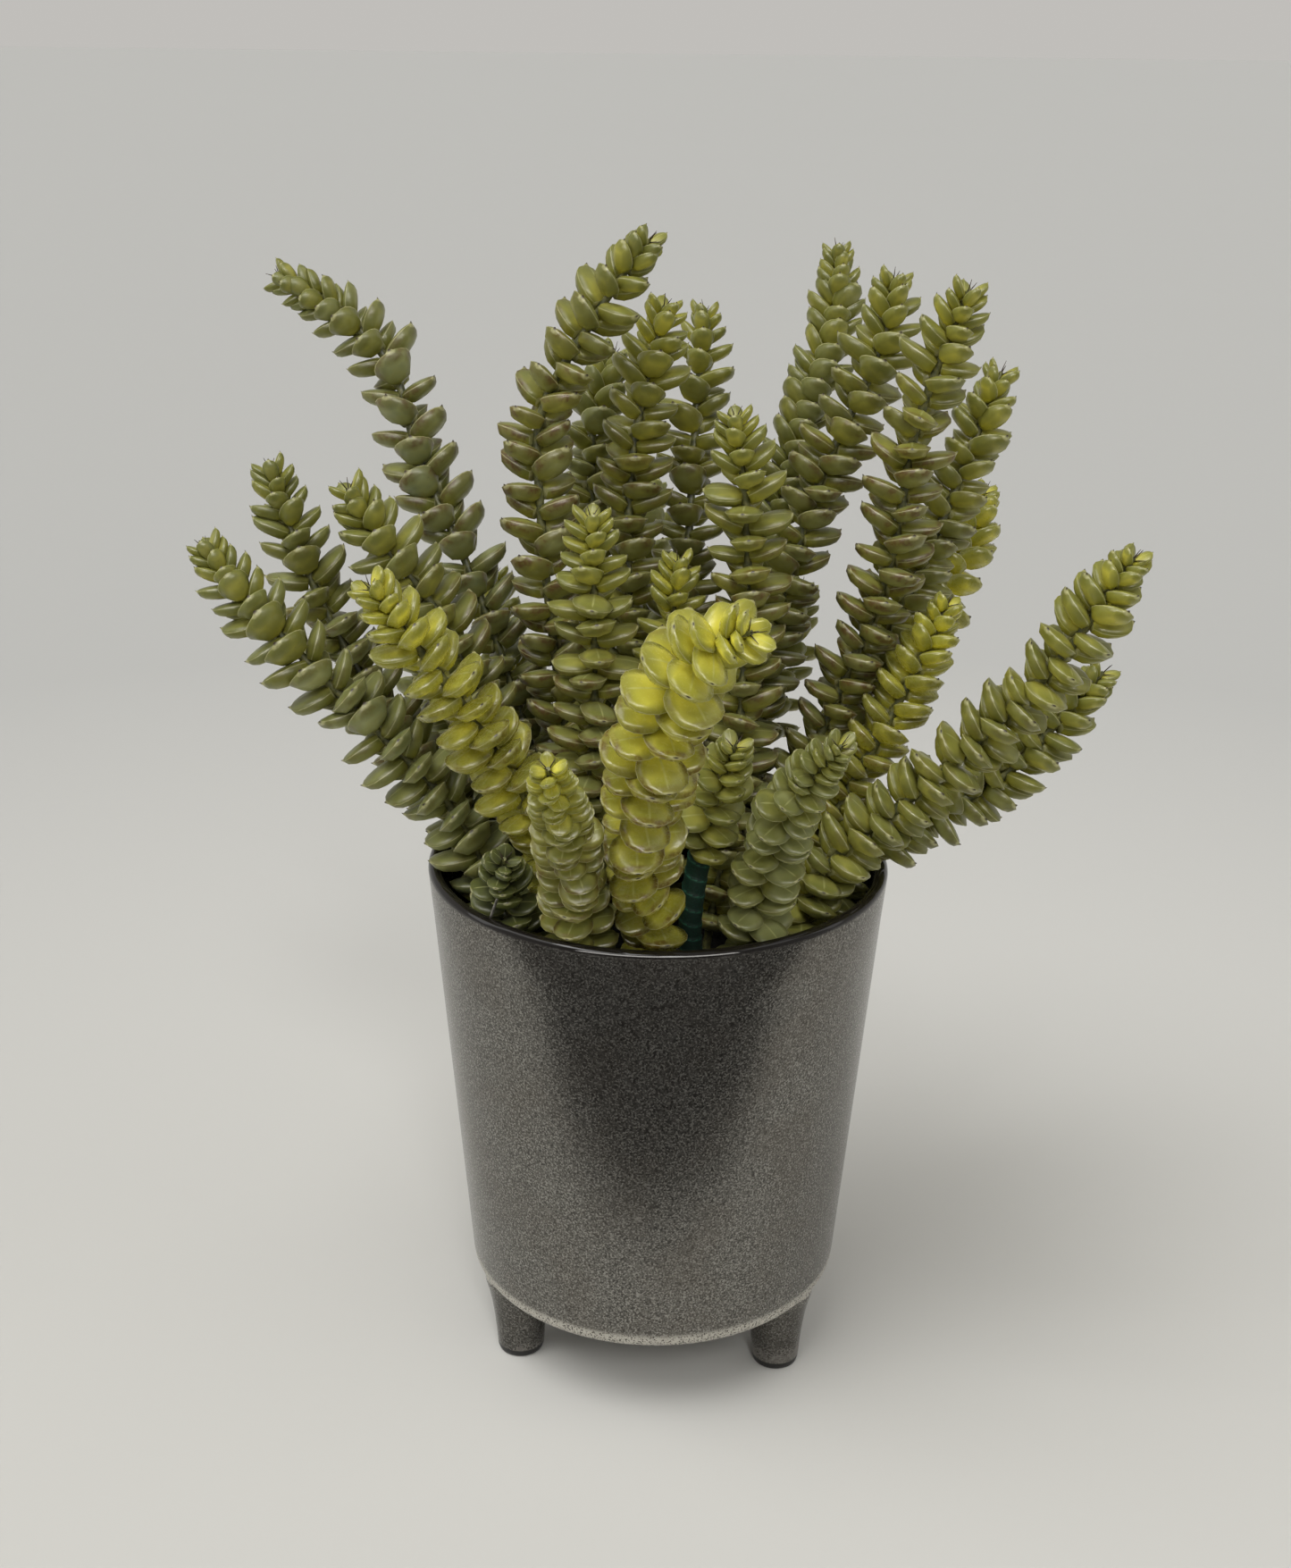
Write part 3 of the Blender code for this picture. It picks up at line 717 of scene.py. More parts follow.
class Plan:
    """Points, edges and attributes of one stem's bare mesh."""

    def __init__(self):
        self.points = []
        self.edges = []
        self.values = {key: [] for key in ("kind", "reach", "rise", "dims", "lime", "blush", "thick")}

    def put(self, point, **values):
        """Add a point and its attributes."""
        empty = {
            "kind": LINE, "reach": Vector((1, 0, 0)), "rise": Vector((0, 0, 1)),
            "dims": Vector((1, 1, 1)), "lime": 0.0, "blush": 0.0, "thick": 0.0,
        }
        self.points.append(point)
        for key, value in {**empty, **values}.items():
            self.values[key].append(value)

    def mesh(self, name):
        """The bare mesh with its attributes."""
        made = new_mesh(name, self.points, self.edges)
        for key, values in self.values.items():
            if key == "kind":
                made.attributes.new(key, "INT", "POINT").data.foreach_set("value", values)
            elif isinstance(values[0], Vector):
                flat = [part for value in values for part in value]
                made.attributes.new(key, "FLOAT_VECTOR", "POINT").data.foreach_set("vector", flat)
            else:
                made.attributes.new(key, "FLOAT", "POINT").data.foreach_set("value", values)
        return made


def plan_stem(name):
    """The line, the leaves and the hairs of one stem."""
    stem = STEMS[name]
    route = routes[name]
    own = point_tree(samples[name])
    others = point_tree([point for other in samples if other != name for point in samples[other]])
    plan = Plan()
    start = STALK_TOP_ALONG if name == ON_STALK else -STEM_SUNK
    count = round((route.length - start) / STEM_POINT_STEP)
    for number in range(count + 1):
        along = start + (route.length - start) * number / count
        from_tip = (route.length - along) / STEM_TAPER
        girth = min(1.0, STEM_TIP_SHARE + (1 - STEM_TIP_SHARE) * from_tip)
        plan.put(route.place(along), thick=STEM_RADIUS * girth)
    plan.edges = chain(plan.points)
    chance = random.Random(name)
    for number, (along, size, girth, tilt) in enumerate(pairs(name)):
        side, back, forward = route.axes(along)
        twist = Quaternion(forward, math.radians(chance.uniform(-PAIR_TWIST, PAIR_TWIST)))
        side.rotate(twist)
        back.rotate(twist)
        young = math.exp((along - route.length) / LIME_FADE)
        lime = stem.root_lime + (stem.tip_lime - stem.root_lime) * young
        blush = stem.blush * min(1.0, (route.length - along) / BLUSH_FADE) ** 2
        low = math.radians(tilt)
        for outward in ((side, -side), (back, -back))[number % 2]:
            reach = math.cos(low) * outward + math.sin(low) * forward
            rise = math.cos(low) * forward - math.sin(low) * outward
            root = route.place(along) + LEAF_ROOT_RADIUS * outward
            dims = size * Vector((LEAF_LENGTH, LEAF_WIDTH * girth, LEAF_THICKNESS * stem.habit.plump))
            scale = 1.0
            while scale >= SMALLEST_LEAF and not has_room(root, reach, rise, scale * dims, own, others):
                scale *= SHRINK_STEP
            if scale >= SMALLEST_LEAF:
                plan.put(root, kind=LEAF, reach=reach, rise=rise, dims=scale * dims, lime=lime, blush=blush)
    side, back, forward = route.axes(route.length)
    for turn, length, lean in HAIRS:
        outward = math.cos(turn) * side + math.sin(turn) * back
        low = math.radians(lean)
        reach = math.cos(low) * forward + math.sin(low) * outward
        dims = Vector((length, HAIR_GIRTH_MM, HAIR_GIRTH_MM)) * MM
        plan.put(route.place(route.length - HAIR_SUNK), kind=HAIR, reach=reach, rise=outward, dims=dims)
    return plan


plans = {name: plan_stem(name) for name in STEMS}
print("leaves:", sum(plan.values["kind"].count(LEAF) for plan in plans.values()))

# %% [markdown]
# ## One leaf
# The leaf is a plump, blunt almond: a broad neck, a deep rounded belly, a lower dome above it with a
# firm margin between them, and a short spike of a point that turns up. It could be sculpted once and
# copied by hand, but it is repeated well over a thousand times, so it gets only a few dozen faces, in
# rings round its length. Its UV map runs across the upper face from 0 to 1, across the belly from
# 1 to 2, and from the neck to the point, so that the colour can follow both.

# %% Model the leaf and the hair
# Each ring's place along the leaf, and its shares of the full width and depth.
LEAF_RINGS = (
    (0.0, 0.5, 0.76), (0.17, 0.84, 0.97), (0.38, 0.99, 1.0), (0.6, 1.0, 0.94),
    (0.79, 0.88, 0.78), (0.92, 0.6, 0.52), (0.985, 0.22, 0.2),
)
UPPER_POINTS = (-1.0, -0.6, 0.0, 0.6, 1.0)
BELLY_POINTS = (0.66, 0.0, -0.66)
UPPER_DOME = 0.26
BELLY_SHARE = 0.68
LEAF_ARCH = 0.1
POINT_LIFT = 0.16
LIFT_EASE = 4
POINT_TURN = 1.6
POINT_END = 1.05
BELLY_SQUARENESS = 2.6
BELLY_FULLNESS = 0.55
HAIR_SIDES = 3
HAIR_RINGS = ((0, 0.16), (0.5, 0.13), (0.95, 0.06))
HAIR_BEND = 0.25


def leaf_section(along, width, depth):
    """A ring of points round the leaf at a share of its length."""
    rim = POINT_LIFT * along ** LIFT_EASE + LEAF_ARCH * math.sin(math.pi * along)
    ring = []
    for across in UPPER_POINTS:
        ring.append((along, 0.5 * width * across, rim + UPPER_DOME * depth * (1 - across ** 2)))
    for across in BELLY_POINTS:
        belly = BELLY_SHARE * depth * (1 - abs(across) ** BELLY_SQUARENESS) ** BELLY_FULLNESS
        ring.append((along, 0.5 * width * across, rim - belly))
    return ring


def make_leaf():
    """The leaf's mesh, one unit long, wide and thick."""
    bm = bmesh.new()
    uv = bm.loops.layers.uv.new("leaf_uv")
    around = len(UPPER_POINTS) + len(BELLY_POINTS)
    turns = [0.5 * (across + 1) for across in UPPER_POINTS]
    turns += [1.5 - 0.5 * across for across in BELLY_POINTS] + [2.0]
    rings = [[bm.verts.new(point) for point in leaf_section(*ring)] for ring in LEAF_RINGS]
    tip = bm.verts.new((POINT_END, 0, POINT_TURN * POINT_LIFT))
    for number, (low, high) in enumerate(zip(rings, rings[1:])):
        for edge in range(around):
            following = (edge + 1) % around
            face = bm.faces.new((low[edge], low[following], high[following], high[edge]))
            ends = (LEAF_RINGS[number][0], LEAF_RINGS[number + 1][0])
            corners = ((edge, 0), (edge + 1, 0), (edge + 1, 1), (edge, 1))
            for loop, (step, end) in zip(face.loops, corners):
                loop[uv].uv = (turns[step], ends[end])
    last = LEAF_RINGS[-1][0]
    for edge in range(around):
        face = bm.faces.new((rings[-1][edge], rings[-1][(edge + 1) % around], tip))
        spots = ((turns[edge], last), (turns[edge + 1], last), (turns[edge], 1.0))
        for loop, spot in zip(face.loops, spots):
            loop[uv].uv = spot
    bm.faces.new(reversed(rings[0]))
    return close_mesh("leaf_mould", bm)


def make_hair():
    """A tapered hair, one unit long, that bends a little."""
    bm = bmesh.new()
    turns = [corner * math.tau / HAIR_SIDES for corner in range(HAIR_SIDES)]
    rings = []
    for along, radius in HAIR_RINGS:
        bend = HAIR_BEND * along ** 2
        spots = [(along, radius * math.cos(turn), bend + radius * math.sin(turn)) for turn in turns]
        rings.append([bm.verts.new(spot) for spot in spots])
    join_rings(bm, rings)
    bm.faces.new(reversed(rings[0]))
    bm.faces.new(rings[-1])
    return close_mesh("hair_mould", bm)


leaf_mould = new_object("leaf_mould", make_leaf())
hair_mould = new_object("hair_mould", make_hair())
print("faces in a leaf:", len(leaf_mould.data.polygons))

# %% [markdown]
# ## The finish of the leaves
# The leaves are cast in soft plastic, PE or PVC, and sprayed afterwards, so brown-red patches follow
# the firm margin and the very tip is almost black. One leaf runs from a yellow-green neck to a darker
# outer half and margin band, which is painted shade where it curves away from the light, and the
# margin itself is pale, partly rubbed and partly a painted highlight. Soft plastic lets some light in,
# which is what makes the young leaves glow. What varies from stem to stem comes in through attributes.

# %% Start the leaf finish with its own tone
# Soft PE cast in a mould: a satin skin, with a little light passing through the thin edges.
# The stop at 0 is a painted deep shade, used mostly by the stem at the left rim; grey-green starts at 0.1.
LEAF_COLOURS = (
    (0.0, "#2c3324"), (0.1, "#8b956f"), (0.25, "#a0a26d"), (0.46, "#8c8a43"), (0.62, "#aca74a"),
    (0.82, "#c9c14b"), (1.0, "#f5ec58"),
)
CLOUD_SIZE = 3.8 * MM
MOTTLE_SIZE = 0.9 * MM
OWN_SWING = 0.2
CLOUD_SWING = 0.35
NECK_LIFT = 0.22

leaf_finish, tree, shader = new_finish("moulded_leaf_plastic", {
    "IOR": 1.5, "Specular IOR Level": 0.42, "Subsurface Weight": 0.1,
    "Subsurface Radius": (1.0, 0.9, 0.3), "Subsurface Scale": 1.2 * MM,
})
spot = add(tree, COORDINATES).outputs["Object"]
leaf_map = add(tree, "ShaderNodeSeparateXYZ", (add(tree, "ShaderNodeUVMap", uv_map="leaf_uv"),))
around, along = leaf_map.outputs["X"], leaf_map.outputs["Y"]
lime, own_blush, own_tone = [
    add(tree, "ShaderNodeAttribute", attribute_name=label).outputs["Fac"]
    for label in ("lime", "blush", "leaf_random")
]
cloud = add(tree, NOISE, {"Vector": spot, "Scale": 1 / CLOUD_SIZE, "Detail": 3})
mottle = add(tree, NOISE, {"Vector": spot, "Scale": 1 / MOTTLE_SIZE, "Detail": 4})
neck = add(tree, RANGE, (along, 0.45, 0.0), **SMOOTH)
tone = lime
for source, centre, swing in ((own_tone, 0.5, OWN_SWING), (cloud, 0.5, CLOUD_SWING), (neck, 0.0, NECK_LIFT)):
    drift = add(tree, MATH, (source, centre), **LESS)
    tone = add(tree, MATH, (drift, swing, tone), **TIMES_PLUS)
skin = set_stops(add(tree, RAMP, (tone,)), LEAF_COLOURS)
print("nodes for the tone:", len(tree.nodes))

# %% [markdown]
# ## Where the leaf changes colour
# Each share below is 1 where a layer shows in full and 0 where it doesn't show. The first ones read
# the leaf's own map: which face it is, how near the margin or the midline, how far from neck to
# point. The others read the noises, so that no two leaves wear the same patches.

# %% Find the regions of the leaf and lay its colours
on_belly = add(tree, MATH, (around, 1.0), operation="GREATER_THAN")
on_upper = add(tree, MATH, (1.0, on_belly), **LESS)
folded = add(tree, MATH, (add(tree, MATH, (around,), operation="FRACT"), 0.5), **LESS)
to_middle = add(tree, MATH, (folded,), operation="ABSOLUTE")
at_point = add(tree, RANGE, (along, 0.5, 1.02), **SMOOTH)
edge = add(tree, MATH, (add(tree, MATH, (to_middle, 2), **TIMES), at_point), **LARGER)
# Painted shade: the band inside the margin and the outer half of the upper face are darkened.
outer_half = add(tree, MATH, (add(tree, RANGE, (along, 0.3, 0.95), **SMOOTH), on_upper), **TIMES)
painted_shade = add(tree, MATH, (add(tree, RANGE, (edge, 0.4, 0.95), **SMOOTH), outer_half), **LARGER)
near_edge = add(tree, RANGE, (edge, 0.55, 0.9), **SMOOTH)
past_neck = add(tree, RANGE, (along, 0.1, 0.35), **SMOOTH)
at_edge = add(tree, RANGE, (edge, 0.66, 0.88), **SMOOTH)
patch = add(tree, RANGE, (cloud, 0.45, 0.58), **SMOOTH)
broken = add(tree, RANGE, (mottle, 0.4, 0.56, 0.45, 1), **SMOOTH)
midline = add(tree, RANGE, (to_middle, 0.035, 0.01), **SMOOTH)
before_point = add(tree, RANGE, (along, 0.95, 0.8), **SMOOTH)
# The pale margin is partly rubbed plastic and partly a painted highlight along the rim.
margin = add(tree, RANGE, (edge, 0.96, 0.99), **SMOOTH)
rubbed = add(tree, RANGE, (mottle, 0.35, 0.65, 0.35, 0.65), **SMOOTH)
speck = add(tree, RANGE, (mottle, 0.7, 0.75), **SMOOTH)
unripe = add(tree, RANGE, (lime, 0.35, 0.95, 1.0, 0.45), **SMOOTH)
very_tip = add(tree, RANGE, (along, 0.988, 0.997), **SMOOTH)
# Of these layers, the darker olive one is painted shade.
skin = layered(tree, skin, (
    ("#bcc07a", on_upper, 0.15),
    ("#5c6226", painted_shade, 0.68),
    ("#75502e", near_edge, past_neck, own_blush, 0.32),
    ("#521d16", at_edge, patch, own_blush, broken, 0.9),
    ("#cfd08e", midline, before_point, on_upper, 0.4),
    ("#cbc895", margin, rubbed),
    ("#4f4727", speck, unripe, 0.35),
    ("#33261a", very_tip),
))
sheen = add(tree, RANGE, (lime, 0.3, 1.0, 0.4, 0.26), **SMOOTH)
handled = add(tree, RANGE, (mottle, 0.3, 0.7, 1.1, 0.85), **SMOOTH)
gloss = add(tree, MATH, (handled, sheen), **TIMES)
relief = add(tree, "ShaderNodeBump", {"Height": mottle, "Strength": 0.25, "Distance": 0.15 * MM})
feed(shader, {"Base Color": skin, "Roughness": gloss, "Normal": relief})
print("nodes in the leaf finish:", len(tree.nodes))

# %% [markdown]
# ## The stem and the hair
# A wired stem is dipped in the same plastic but left dark, and the hairs at the tips are trimmings
# of brown plastic. Both are thin, so a plain mottled finish is enough for them.

# %% Make the stem and hair finishes
# PE skin over wire, extruded: dull and even, with a slightly waxy look.
bark = ((0.3, "#454a2c"), (0.5, "#696a3c"), (0.7, "#8d8a50"))
stem_finish = patterned(
    "dipped_stem_plastic", {"Roughness": 0.5}, (NOISE, 1.4 * MM, {"Detail": 3}), bark, (0.4, 0.2 * MM),
)[0]

# Brown PE drawn to a thread: too thin to show any grain, so its colour only drifts along it.
browns = ((0.3, "#241a12"), (0.7, "#4a3a20"))
hair_finish = patterned("brown_tip_hair", {"Roughness": 0.55}, (NOISE, 2.5 * MM, {}), browns)[0]
print("finishes:", stem_finish.name, hair_finish.name)

# %% [markdown]
# ## One tree grows every stem
# The same Geometry Nodes tree turns each bare plan into a leafy stem. It sweeps a round section along
# the line, stands the leaf mould on every leaf point and the hair mould on every hair point, turns
# and scales each by its attributes and a small seeded scatter, makes it all real, and gives each
# kind its finish. Nodes are the natural way here, because only the plan differs between stems.

# %% Build the tree that grows a leafy stem
STEM_SIDES = 8
OWN_TONE_SEED = 7

grower, given, grower_sockets = new_tree("leafy_stem", (
    ("Leaf mould", "NodeSocketObject", None), ("Hair mould", "NodeSocketObject", None),
    ("Leaf finish", "NodeSocketMaterial", None), ("Stem finish", "NodeSocketMaterial", None),
    ("Hair finish", "NodeSocketMaterial", None), ("Size scatter", "NodeSocketFloat", 0.09),
    ("Wobble", "NodeSocketFloat", 0.21), ("Seed", "NodeSocketInt", 1),
))
READ = "GeometryNodeInputNamedAttribute"
reach, rise, dims = [
    add(grower, READ, {"Name": label}, data_type="FLOAT_VECTOR") for label in ("reach", "rise", "dims")
]
thick = add(grower, READ, {"Name": "thick"}, data_type="FLOAT")
kind = add(grower, READ, {"Name": "kind"}, data_type="INT")
is_line, is_leaf, is_hair = [
    add(grower, "FunctionNodeCompare", (kind, number), data_type="INT", operation="EQUAL")
    for number in (LINE, LEAF, HAIR)
]


def stand(mould, chosen, turning, size):
    """Instances of a mould on the chosen points."""
    shape = add(grower, "GeometryNodeObjectInfo", {"Object": given.outputs[mould]}).outputs["Geometry"]
    return add(grower, "GeometryNodeInstanceOnPoints", {
        "Points": given.outputs["Geometry"], "Selection": chosen, "Instance": shape,
        "Rotation": turning, "Scale": size,
    })


wobble, scatter, seed = [given.outputs[label] for label in ("Wobble", "Size scatter", "Seed")]
aimed = add(grower, "FunctionNodeAxesToRotation", (reach, rise), primary_axis="X", secondary_axis="Z")
less = add(grower, MATH, (wobble, -1.0), **TIMES)
shaken = add(grower, "FunctionNodeRandomValue", {0: less, 1: wobble, "Seed": seed}, data_type="FLOAT_VECTOR")
turned = add(grower, "FunctionNodeEulerToRotation", (shaken,))
aimed_leaf = add(grower, "FunctionNodeRotateRotation", (aimed, turned), rotation_space="LOCAL")
smaller = add(grower, MATH, (1.0, scatter), **LESS)
larger = add(grower, MATH, (1.0, scatter), **PLUS)
factor = add(grower, "FunctionNodeRandomValue", {2: smaller, 3: larger, "Seed": seed}, data_type="FLOAT")
sized = add(grower, "ShaderNodeVectorMath", (dims, factor), operation="SCALE")

leaves = stand("Leaf mould", is_leaf, aimed_leaf, sized)
own_chance = add(grower, "FunctionNodeRandomValue", {"Seed": OWN_TONE_SEED}, data_type="FLOAT")
leaves = add(grower, "GeometryNodeStoreNamedAttribute", {
    "Geometry": leaves, "Name": "leaf_random", "Value": own_chance,
}, data_type="FLOAT", domain="INSTANCE")
hairs = stand("Hair mould", is_hair, aimed, dims)
line = add(grower, "GeometryNodeMeshToCurve", (given.outputs["Geometry"], is_line))
section = add(grower, "GeometryNodeCurvePrimitiveCircle", {"Resolution": STEM_SIDES, "Radius": 1.0})
sweep = add(grower, "GeometryNodeCurveToMesh", {
    "Curve": line, "Profile Curve": section, "Scale": thick, "Fill Caps": True,
})
joined = add(grower, "GeometryNodeJoinGeometry")
for part in (hairs, leaves, sweep):
    feed(joined, (part,))
grown = add(grower, "GeometryNodeSetShadeSmooth", (joined,))
grown = add(grower, "GeometryNodeRealizeInstances", (grown,))
for chosen, label in ((is_line, "Stem finish"), (is_leaf, "Leaf finish"), (is_hair, "Hair finish")):
    grown = add(grower, "GeometryNodeSetMaterial", (grown, chosen, given.outputs[label]))
add(grower, "NodeGroupOutput", {"Geometry": grown})
print("nodes in the tree:", len(grower.nodes))

# %% [markdown]
# ## Grow the stems
# Each piece stands for the solid of the same name, which is hidden.

# %% Grow all the stems and hand them to the frame
triangles = 0
for number, (name, plan) in enumerate(plans.items(), start=1):
    piece = new_object("grown_" + name, plan.mesh(name + "_plan"))
    grow(piece, grower, grower_sockets, {
        "Leaf mould": leaf_mould, "Hair mould": hair_mould, "Leaf finish": leaf_finish,
        "Stem finish": stem_finish, "Hair finish": hair_finish, "Seed": number,
    })
    triangles += sum(len(face.vertices) - 2 for face in piece.data.polygons)
    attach(piece, "root")
    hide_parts(name)
for mould in (leaf_mould, hair_mould):
    bpy.data.objects.remove(mould)
print("triangles in the stems:", triangles)

# %% [markdown]
# ## The pot
# The pot was thrown or cast as one round shape, so its outline is drawn once, as radius and height,
# and turned round the middle. Its lip is rounded and its base has a soft edge. The three legs are
# small turned knobs that flare towards the base, joined to it with a Boolean as the clay is.

# %% Turn the pot and its legs
POT_SIDES = 180
FLOOR_THICKNESS = 5 * MM
BASE_INSET = 2.2 * MM
BASE_RISE = 3 * MM
BASE_STEPS = 8
LIP_STEPS = 10
INSIDE_HEIGHTS_MM = (60, 100, 125)
OUTSIDE_SHARES = (0.1, 0.3, 0.5, 0.7, 0.85, 1.0)
SHARP_FROM = 35
LEG_SIDES = 48
LEG_PLACE_RADIUS = 40.8 * MM
LEG_ANGLES = (56.5, 176.5, 296.5)
# Radius and height of a leg from the floor up, to just inside the pot's base.
LEG_PROFILE_MM = (
    (0, 0), (5.5, 0), (6.0, 0.4), (6.3, 1.3), (6.45, 2.6), (6.7, 6), (7.2, 11), (7.9, 16),
    (8.6, 19.5), (9.3, 22), (9.5, 23), (9.5, 25), (0, 25),
)


def turn_profile(name, profile, sides):
    """A closed shape turned round the vertical from (radius, height) points."""
    bm = bmesh.new()
    rings = []
    for radius, height in profile:
        if radius == 0:
            rings.append([bm.verts.new((0, 0, height))] * sides)
            continue
        turns = [side * math.tau / sides for side in range(sides)]
        spots = [(radius * math.cos(turn), radius * math.sin(turn), height) for turn in turns]
        rings.append([bm.verts.new(spot) for spot in spots])
    join_rings(bm, rings)
    return new_object(name, close_mesh(name, bm))


def pot_outline():
    """Radius and height of the pot, from the middle of its floor inside to the middle of its base."""
    floor_inside = LEG_HEIGHT + FLOOR_THICKNESS
    points = [(0, floor_inside), (inner_wall_radius(floor_inside), floor_inside)]
    lip_height = RIM_HEIGHT - WALL / 2
    points += [(inner_wall_radius(height * MM), height * MM) for height in INSIDE_HEIGHTS_MM]
    for step in range(LIP_STEPS + 1):
        turn = math.pi * (1 - step / LIP_STEPS)
        radius = RIM_RADIUS - WALL / 2 * (1 - math.cos(turn))
        points.append((radius, lip_height + WALL / 2 * math.sin(turn)))
    wall_foot = LEG_HEIGHT + BASE_RISE
    for share in OUTSIDE_SHARES:
        height = lip_height + (wall_foot - lip_height) * share
        points.append((inner_wall_radius(height) + WALL, height))
    foot_radius = inner_wall_radius(wall_foot) + WALL
    for step in range(1, BASE_STEPS + 1):
        turn = math.pi / 2 * step / BASE_STEPS
        inset = BASE_INSET * (1 - math.cos(turn))
        points.append((foot_radius - inset, wall_foot - BASE_RISE * math.sin(turn)))
    return points + [(0, LEG_HEIGHT)]


pot = turn_profile("glazed_pot", pot_outline(), POT_SIDES)
for number, angle in enumerate(LEG_ANGLES):
    profile = [(radius * MM, height * MM) for radius, height in LEG_PROFILE_MM]
    leg = turn_profile(f"leg_{number}", profile, LEG_SIDES)
    turn = math.radians(angle)
    place = Vector((LEG_PLACE_RADIUS * math.sin(turn), -LEG_PLACE_RADIUS * math.cos(turn), 0))
    leg.data.transform(Matrix.Translation(place))
    join = pot.modifiers.new("Leg", "BOOLEAN")
    join.operation = "UNION"
    join.object = leg
    freeze(pot)
    bpy.data.objects.remove(leg)
pot.data.shade_smooth()
pot.data.set_sharp_from_angle(angle=math.radians(SHARP_FROM))
print("faces in the pot:", len(pot.data.polygons))

# %% [markdown]
# ## The glaze
# This is stoneware with a dark reactive glaze. Iron in it crystallises while it cools, which leaves a
# satin, gunmetal skin full of grey flecks less than a millimetre across. It ran thin at the bottom
# edge and broke into a pale speckled band, and the feet are worn grey where they touch the table.

# %% Make the glaze
# Two heights say where a change in the glaze begins and where it is complete.
THINNED = (27.8 * MM, 26.4 * MM)
ABOVE_SEAM = (23.2 * MM, 23.8 * MM)
ON_LEGS = (22.5 * MM, 20 * MM)
SCUFFED = (9 * MM, 2.5 * MM)
ON_LIP = (139.4 * MM, 140.4 * MM)
ON_SOLES = (2.4 * MM, 2.0 * MM)
FLECK_SIZE = 0.48 * MM
GLAZE_CLOUD_SIZE = 17 * MM
RAGGED = 6 * MM

# Iron-rich glaze on stoneware, fired until it crystallises: dark, metallic, with a soft gleam.
glaze, tree, shader = new_finish("reactive_stoneware_glaze", {"IOR": 1.5})
spot = add(tree, COORDINATES).outputs["Object"]
height = add(tree, "ShaderNodeSeparateXYZ", (spot,)).outputs["Z"]
fleck = add(tree, NOISE, {"Vector": spot, "Scale": 1 / FLECK_SIZE, "Detail": 3})
cloud = add(tree, NOISE, {"Vector": spot, "Scale": 1 / GLAZE_CLOUD_SIZE, "Detail": 4})
body = set_stops(add(tree, RAMP, (fleck,)), ((0.35, "#3e3c39"), (0.5, "#716f6a"), (0.64, "#9a9892")))
ragged = add(tree, MATH, (add(tree, MATH, (fleck, 0.5), **LESS), RAGGED, height), **TIMES_PLUS)
browner = add(tree, RANGE, (cloud, 0.4, 0.65, 0.0, 0.2), **SMOOTH)
broken = add(tree, RANGE, (ragged, *THINNED), **SMOOTH)
above_seam = add(tree, RANGE, (height, *ABOVE_SEAM), **SMOOTH)
speckled = add(tree, RANGE, (fleck, 0.4, 0.5, 0.15, 0.9), **SMOOTH)
broken = add(tree, MATH, (broken, above_seam), **TIMES)
broken = add(tree, MATH, (broken, speckled), **TIMES)
on_legs = add(tree, RANGE, (height, *ON_LEGS, 0.0, 0.4), **SMOOTH)
patches = add(tree, RANGE, (cloud, 0.42, 0.58), **SMOOTH)
worn = add(tree, MATH, (add(tree, RANGE, (height, *SCUFFED), **SMOOTH), patches), **TIMES)
lip = add(tree, RANGE, (height, *ON_LIP), **SMOOTH)
# The foot bottoms are near-black: partly the foot's own dark colour and partly a painted contact shadow.
sole_colour_and_shadow = add(tree, RANGE, (height, *ON_SOLES), **SMOOTH)
body = layered(tree, body, (
    ("#5f564c", browner), ("#bab6ab", broken), ("#34312e", on_legs),
    ("#8f8a82", worn, 0.4), ("#1b1816", lip), ("#151412", sole_colour_and_shadow),
))

# The skin is smoothest on the lip, and dull and less metallic where it is thin or worn and on the soles.
matt = add(tree, MATH, (add(tree, MATH, (broken, worn), **LARGER), sole_colour_and_shadow), **LARGER)
plain = add(tree, MATH, (matt, lip), **LARGER)
metal = add(tree, MATH, (plain, -0.75, 0.85), **TIMES_PLUS)
lip_gloss = add(tree, MATH, (lip, -0.7, 1), **TIMES_PLUS)
rough = add(tree, RANGE, (fleck, 0.35, 0.65, 0.17, 0.28), **SMOOTH)
rough = add(tree, MATH, (rough, lip_gloss), **TIMES)
rough = add(tree, MATH, (matt, 0.2, rough), **TIMES_PLUS)
strength = add(tree, MATH, (lip, -0.4, 0.4), **TIMES_PLUS)
relief = add(tree, "ShaderNodeBump", {"Height": fleck, "Strength": strength, "Distance": 0.05 * MM})
feed(shader, {"Base Color": body, "Metallic": metal, "Roughness": rough, "Normal": relief})
pot.data.materials.append(glaze)
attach(pot, "root")
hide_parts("pot")
print("nodes in the glaze:", len(tree.nodes))

# %% [markdown]
# ## The filling
# A block of dark flower foam is pressed into the pot and the stems are pushed into it. Only the rough
# top shows, so that is modelled: rings of points lifted and lowered by noise, closed underneath.

# %% Model the foam's rough top
FOAM_RINGS = 26
FOAM_SIDES = 120
FOAM_ROUGHNESS = 0.7 * MM
FOAM_DEPTH = 6 * MM
FOAM_TOP = FILLING_TOP - 0.6 * MM
FOAM_GAP = 0.3 * MM
LUMP_SIZE = 3 * MM
CRUMB_SIZE = 1.2 * MM
CRUMB_SHARE = 0.6
EDGE_CALM = 6

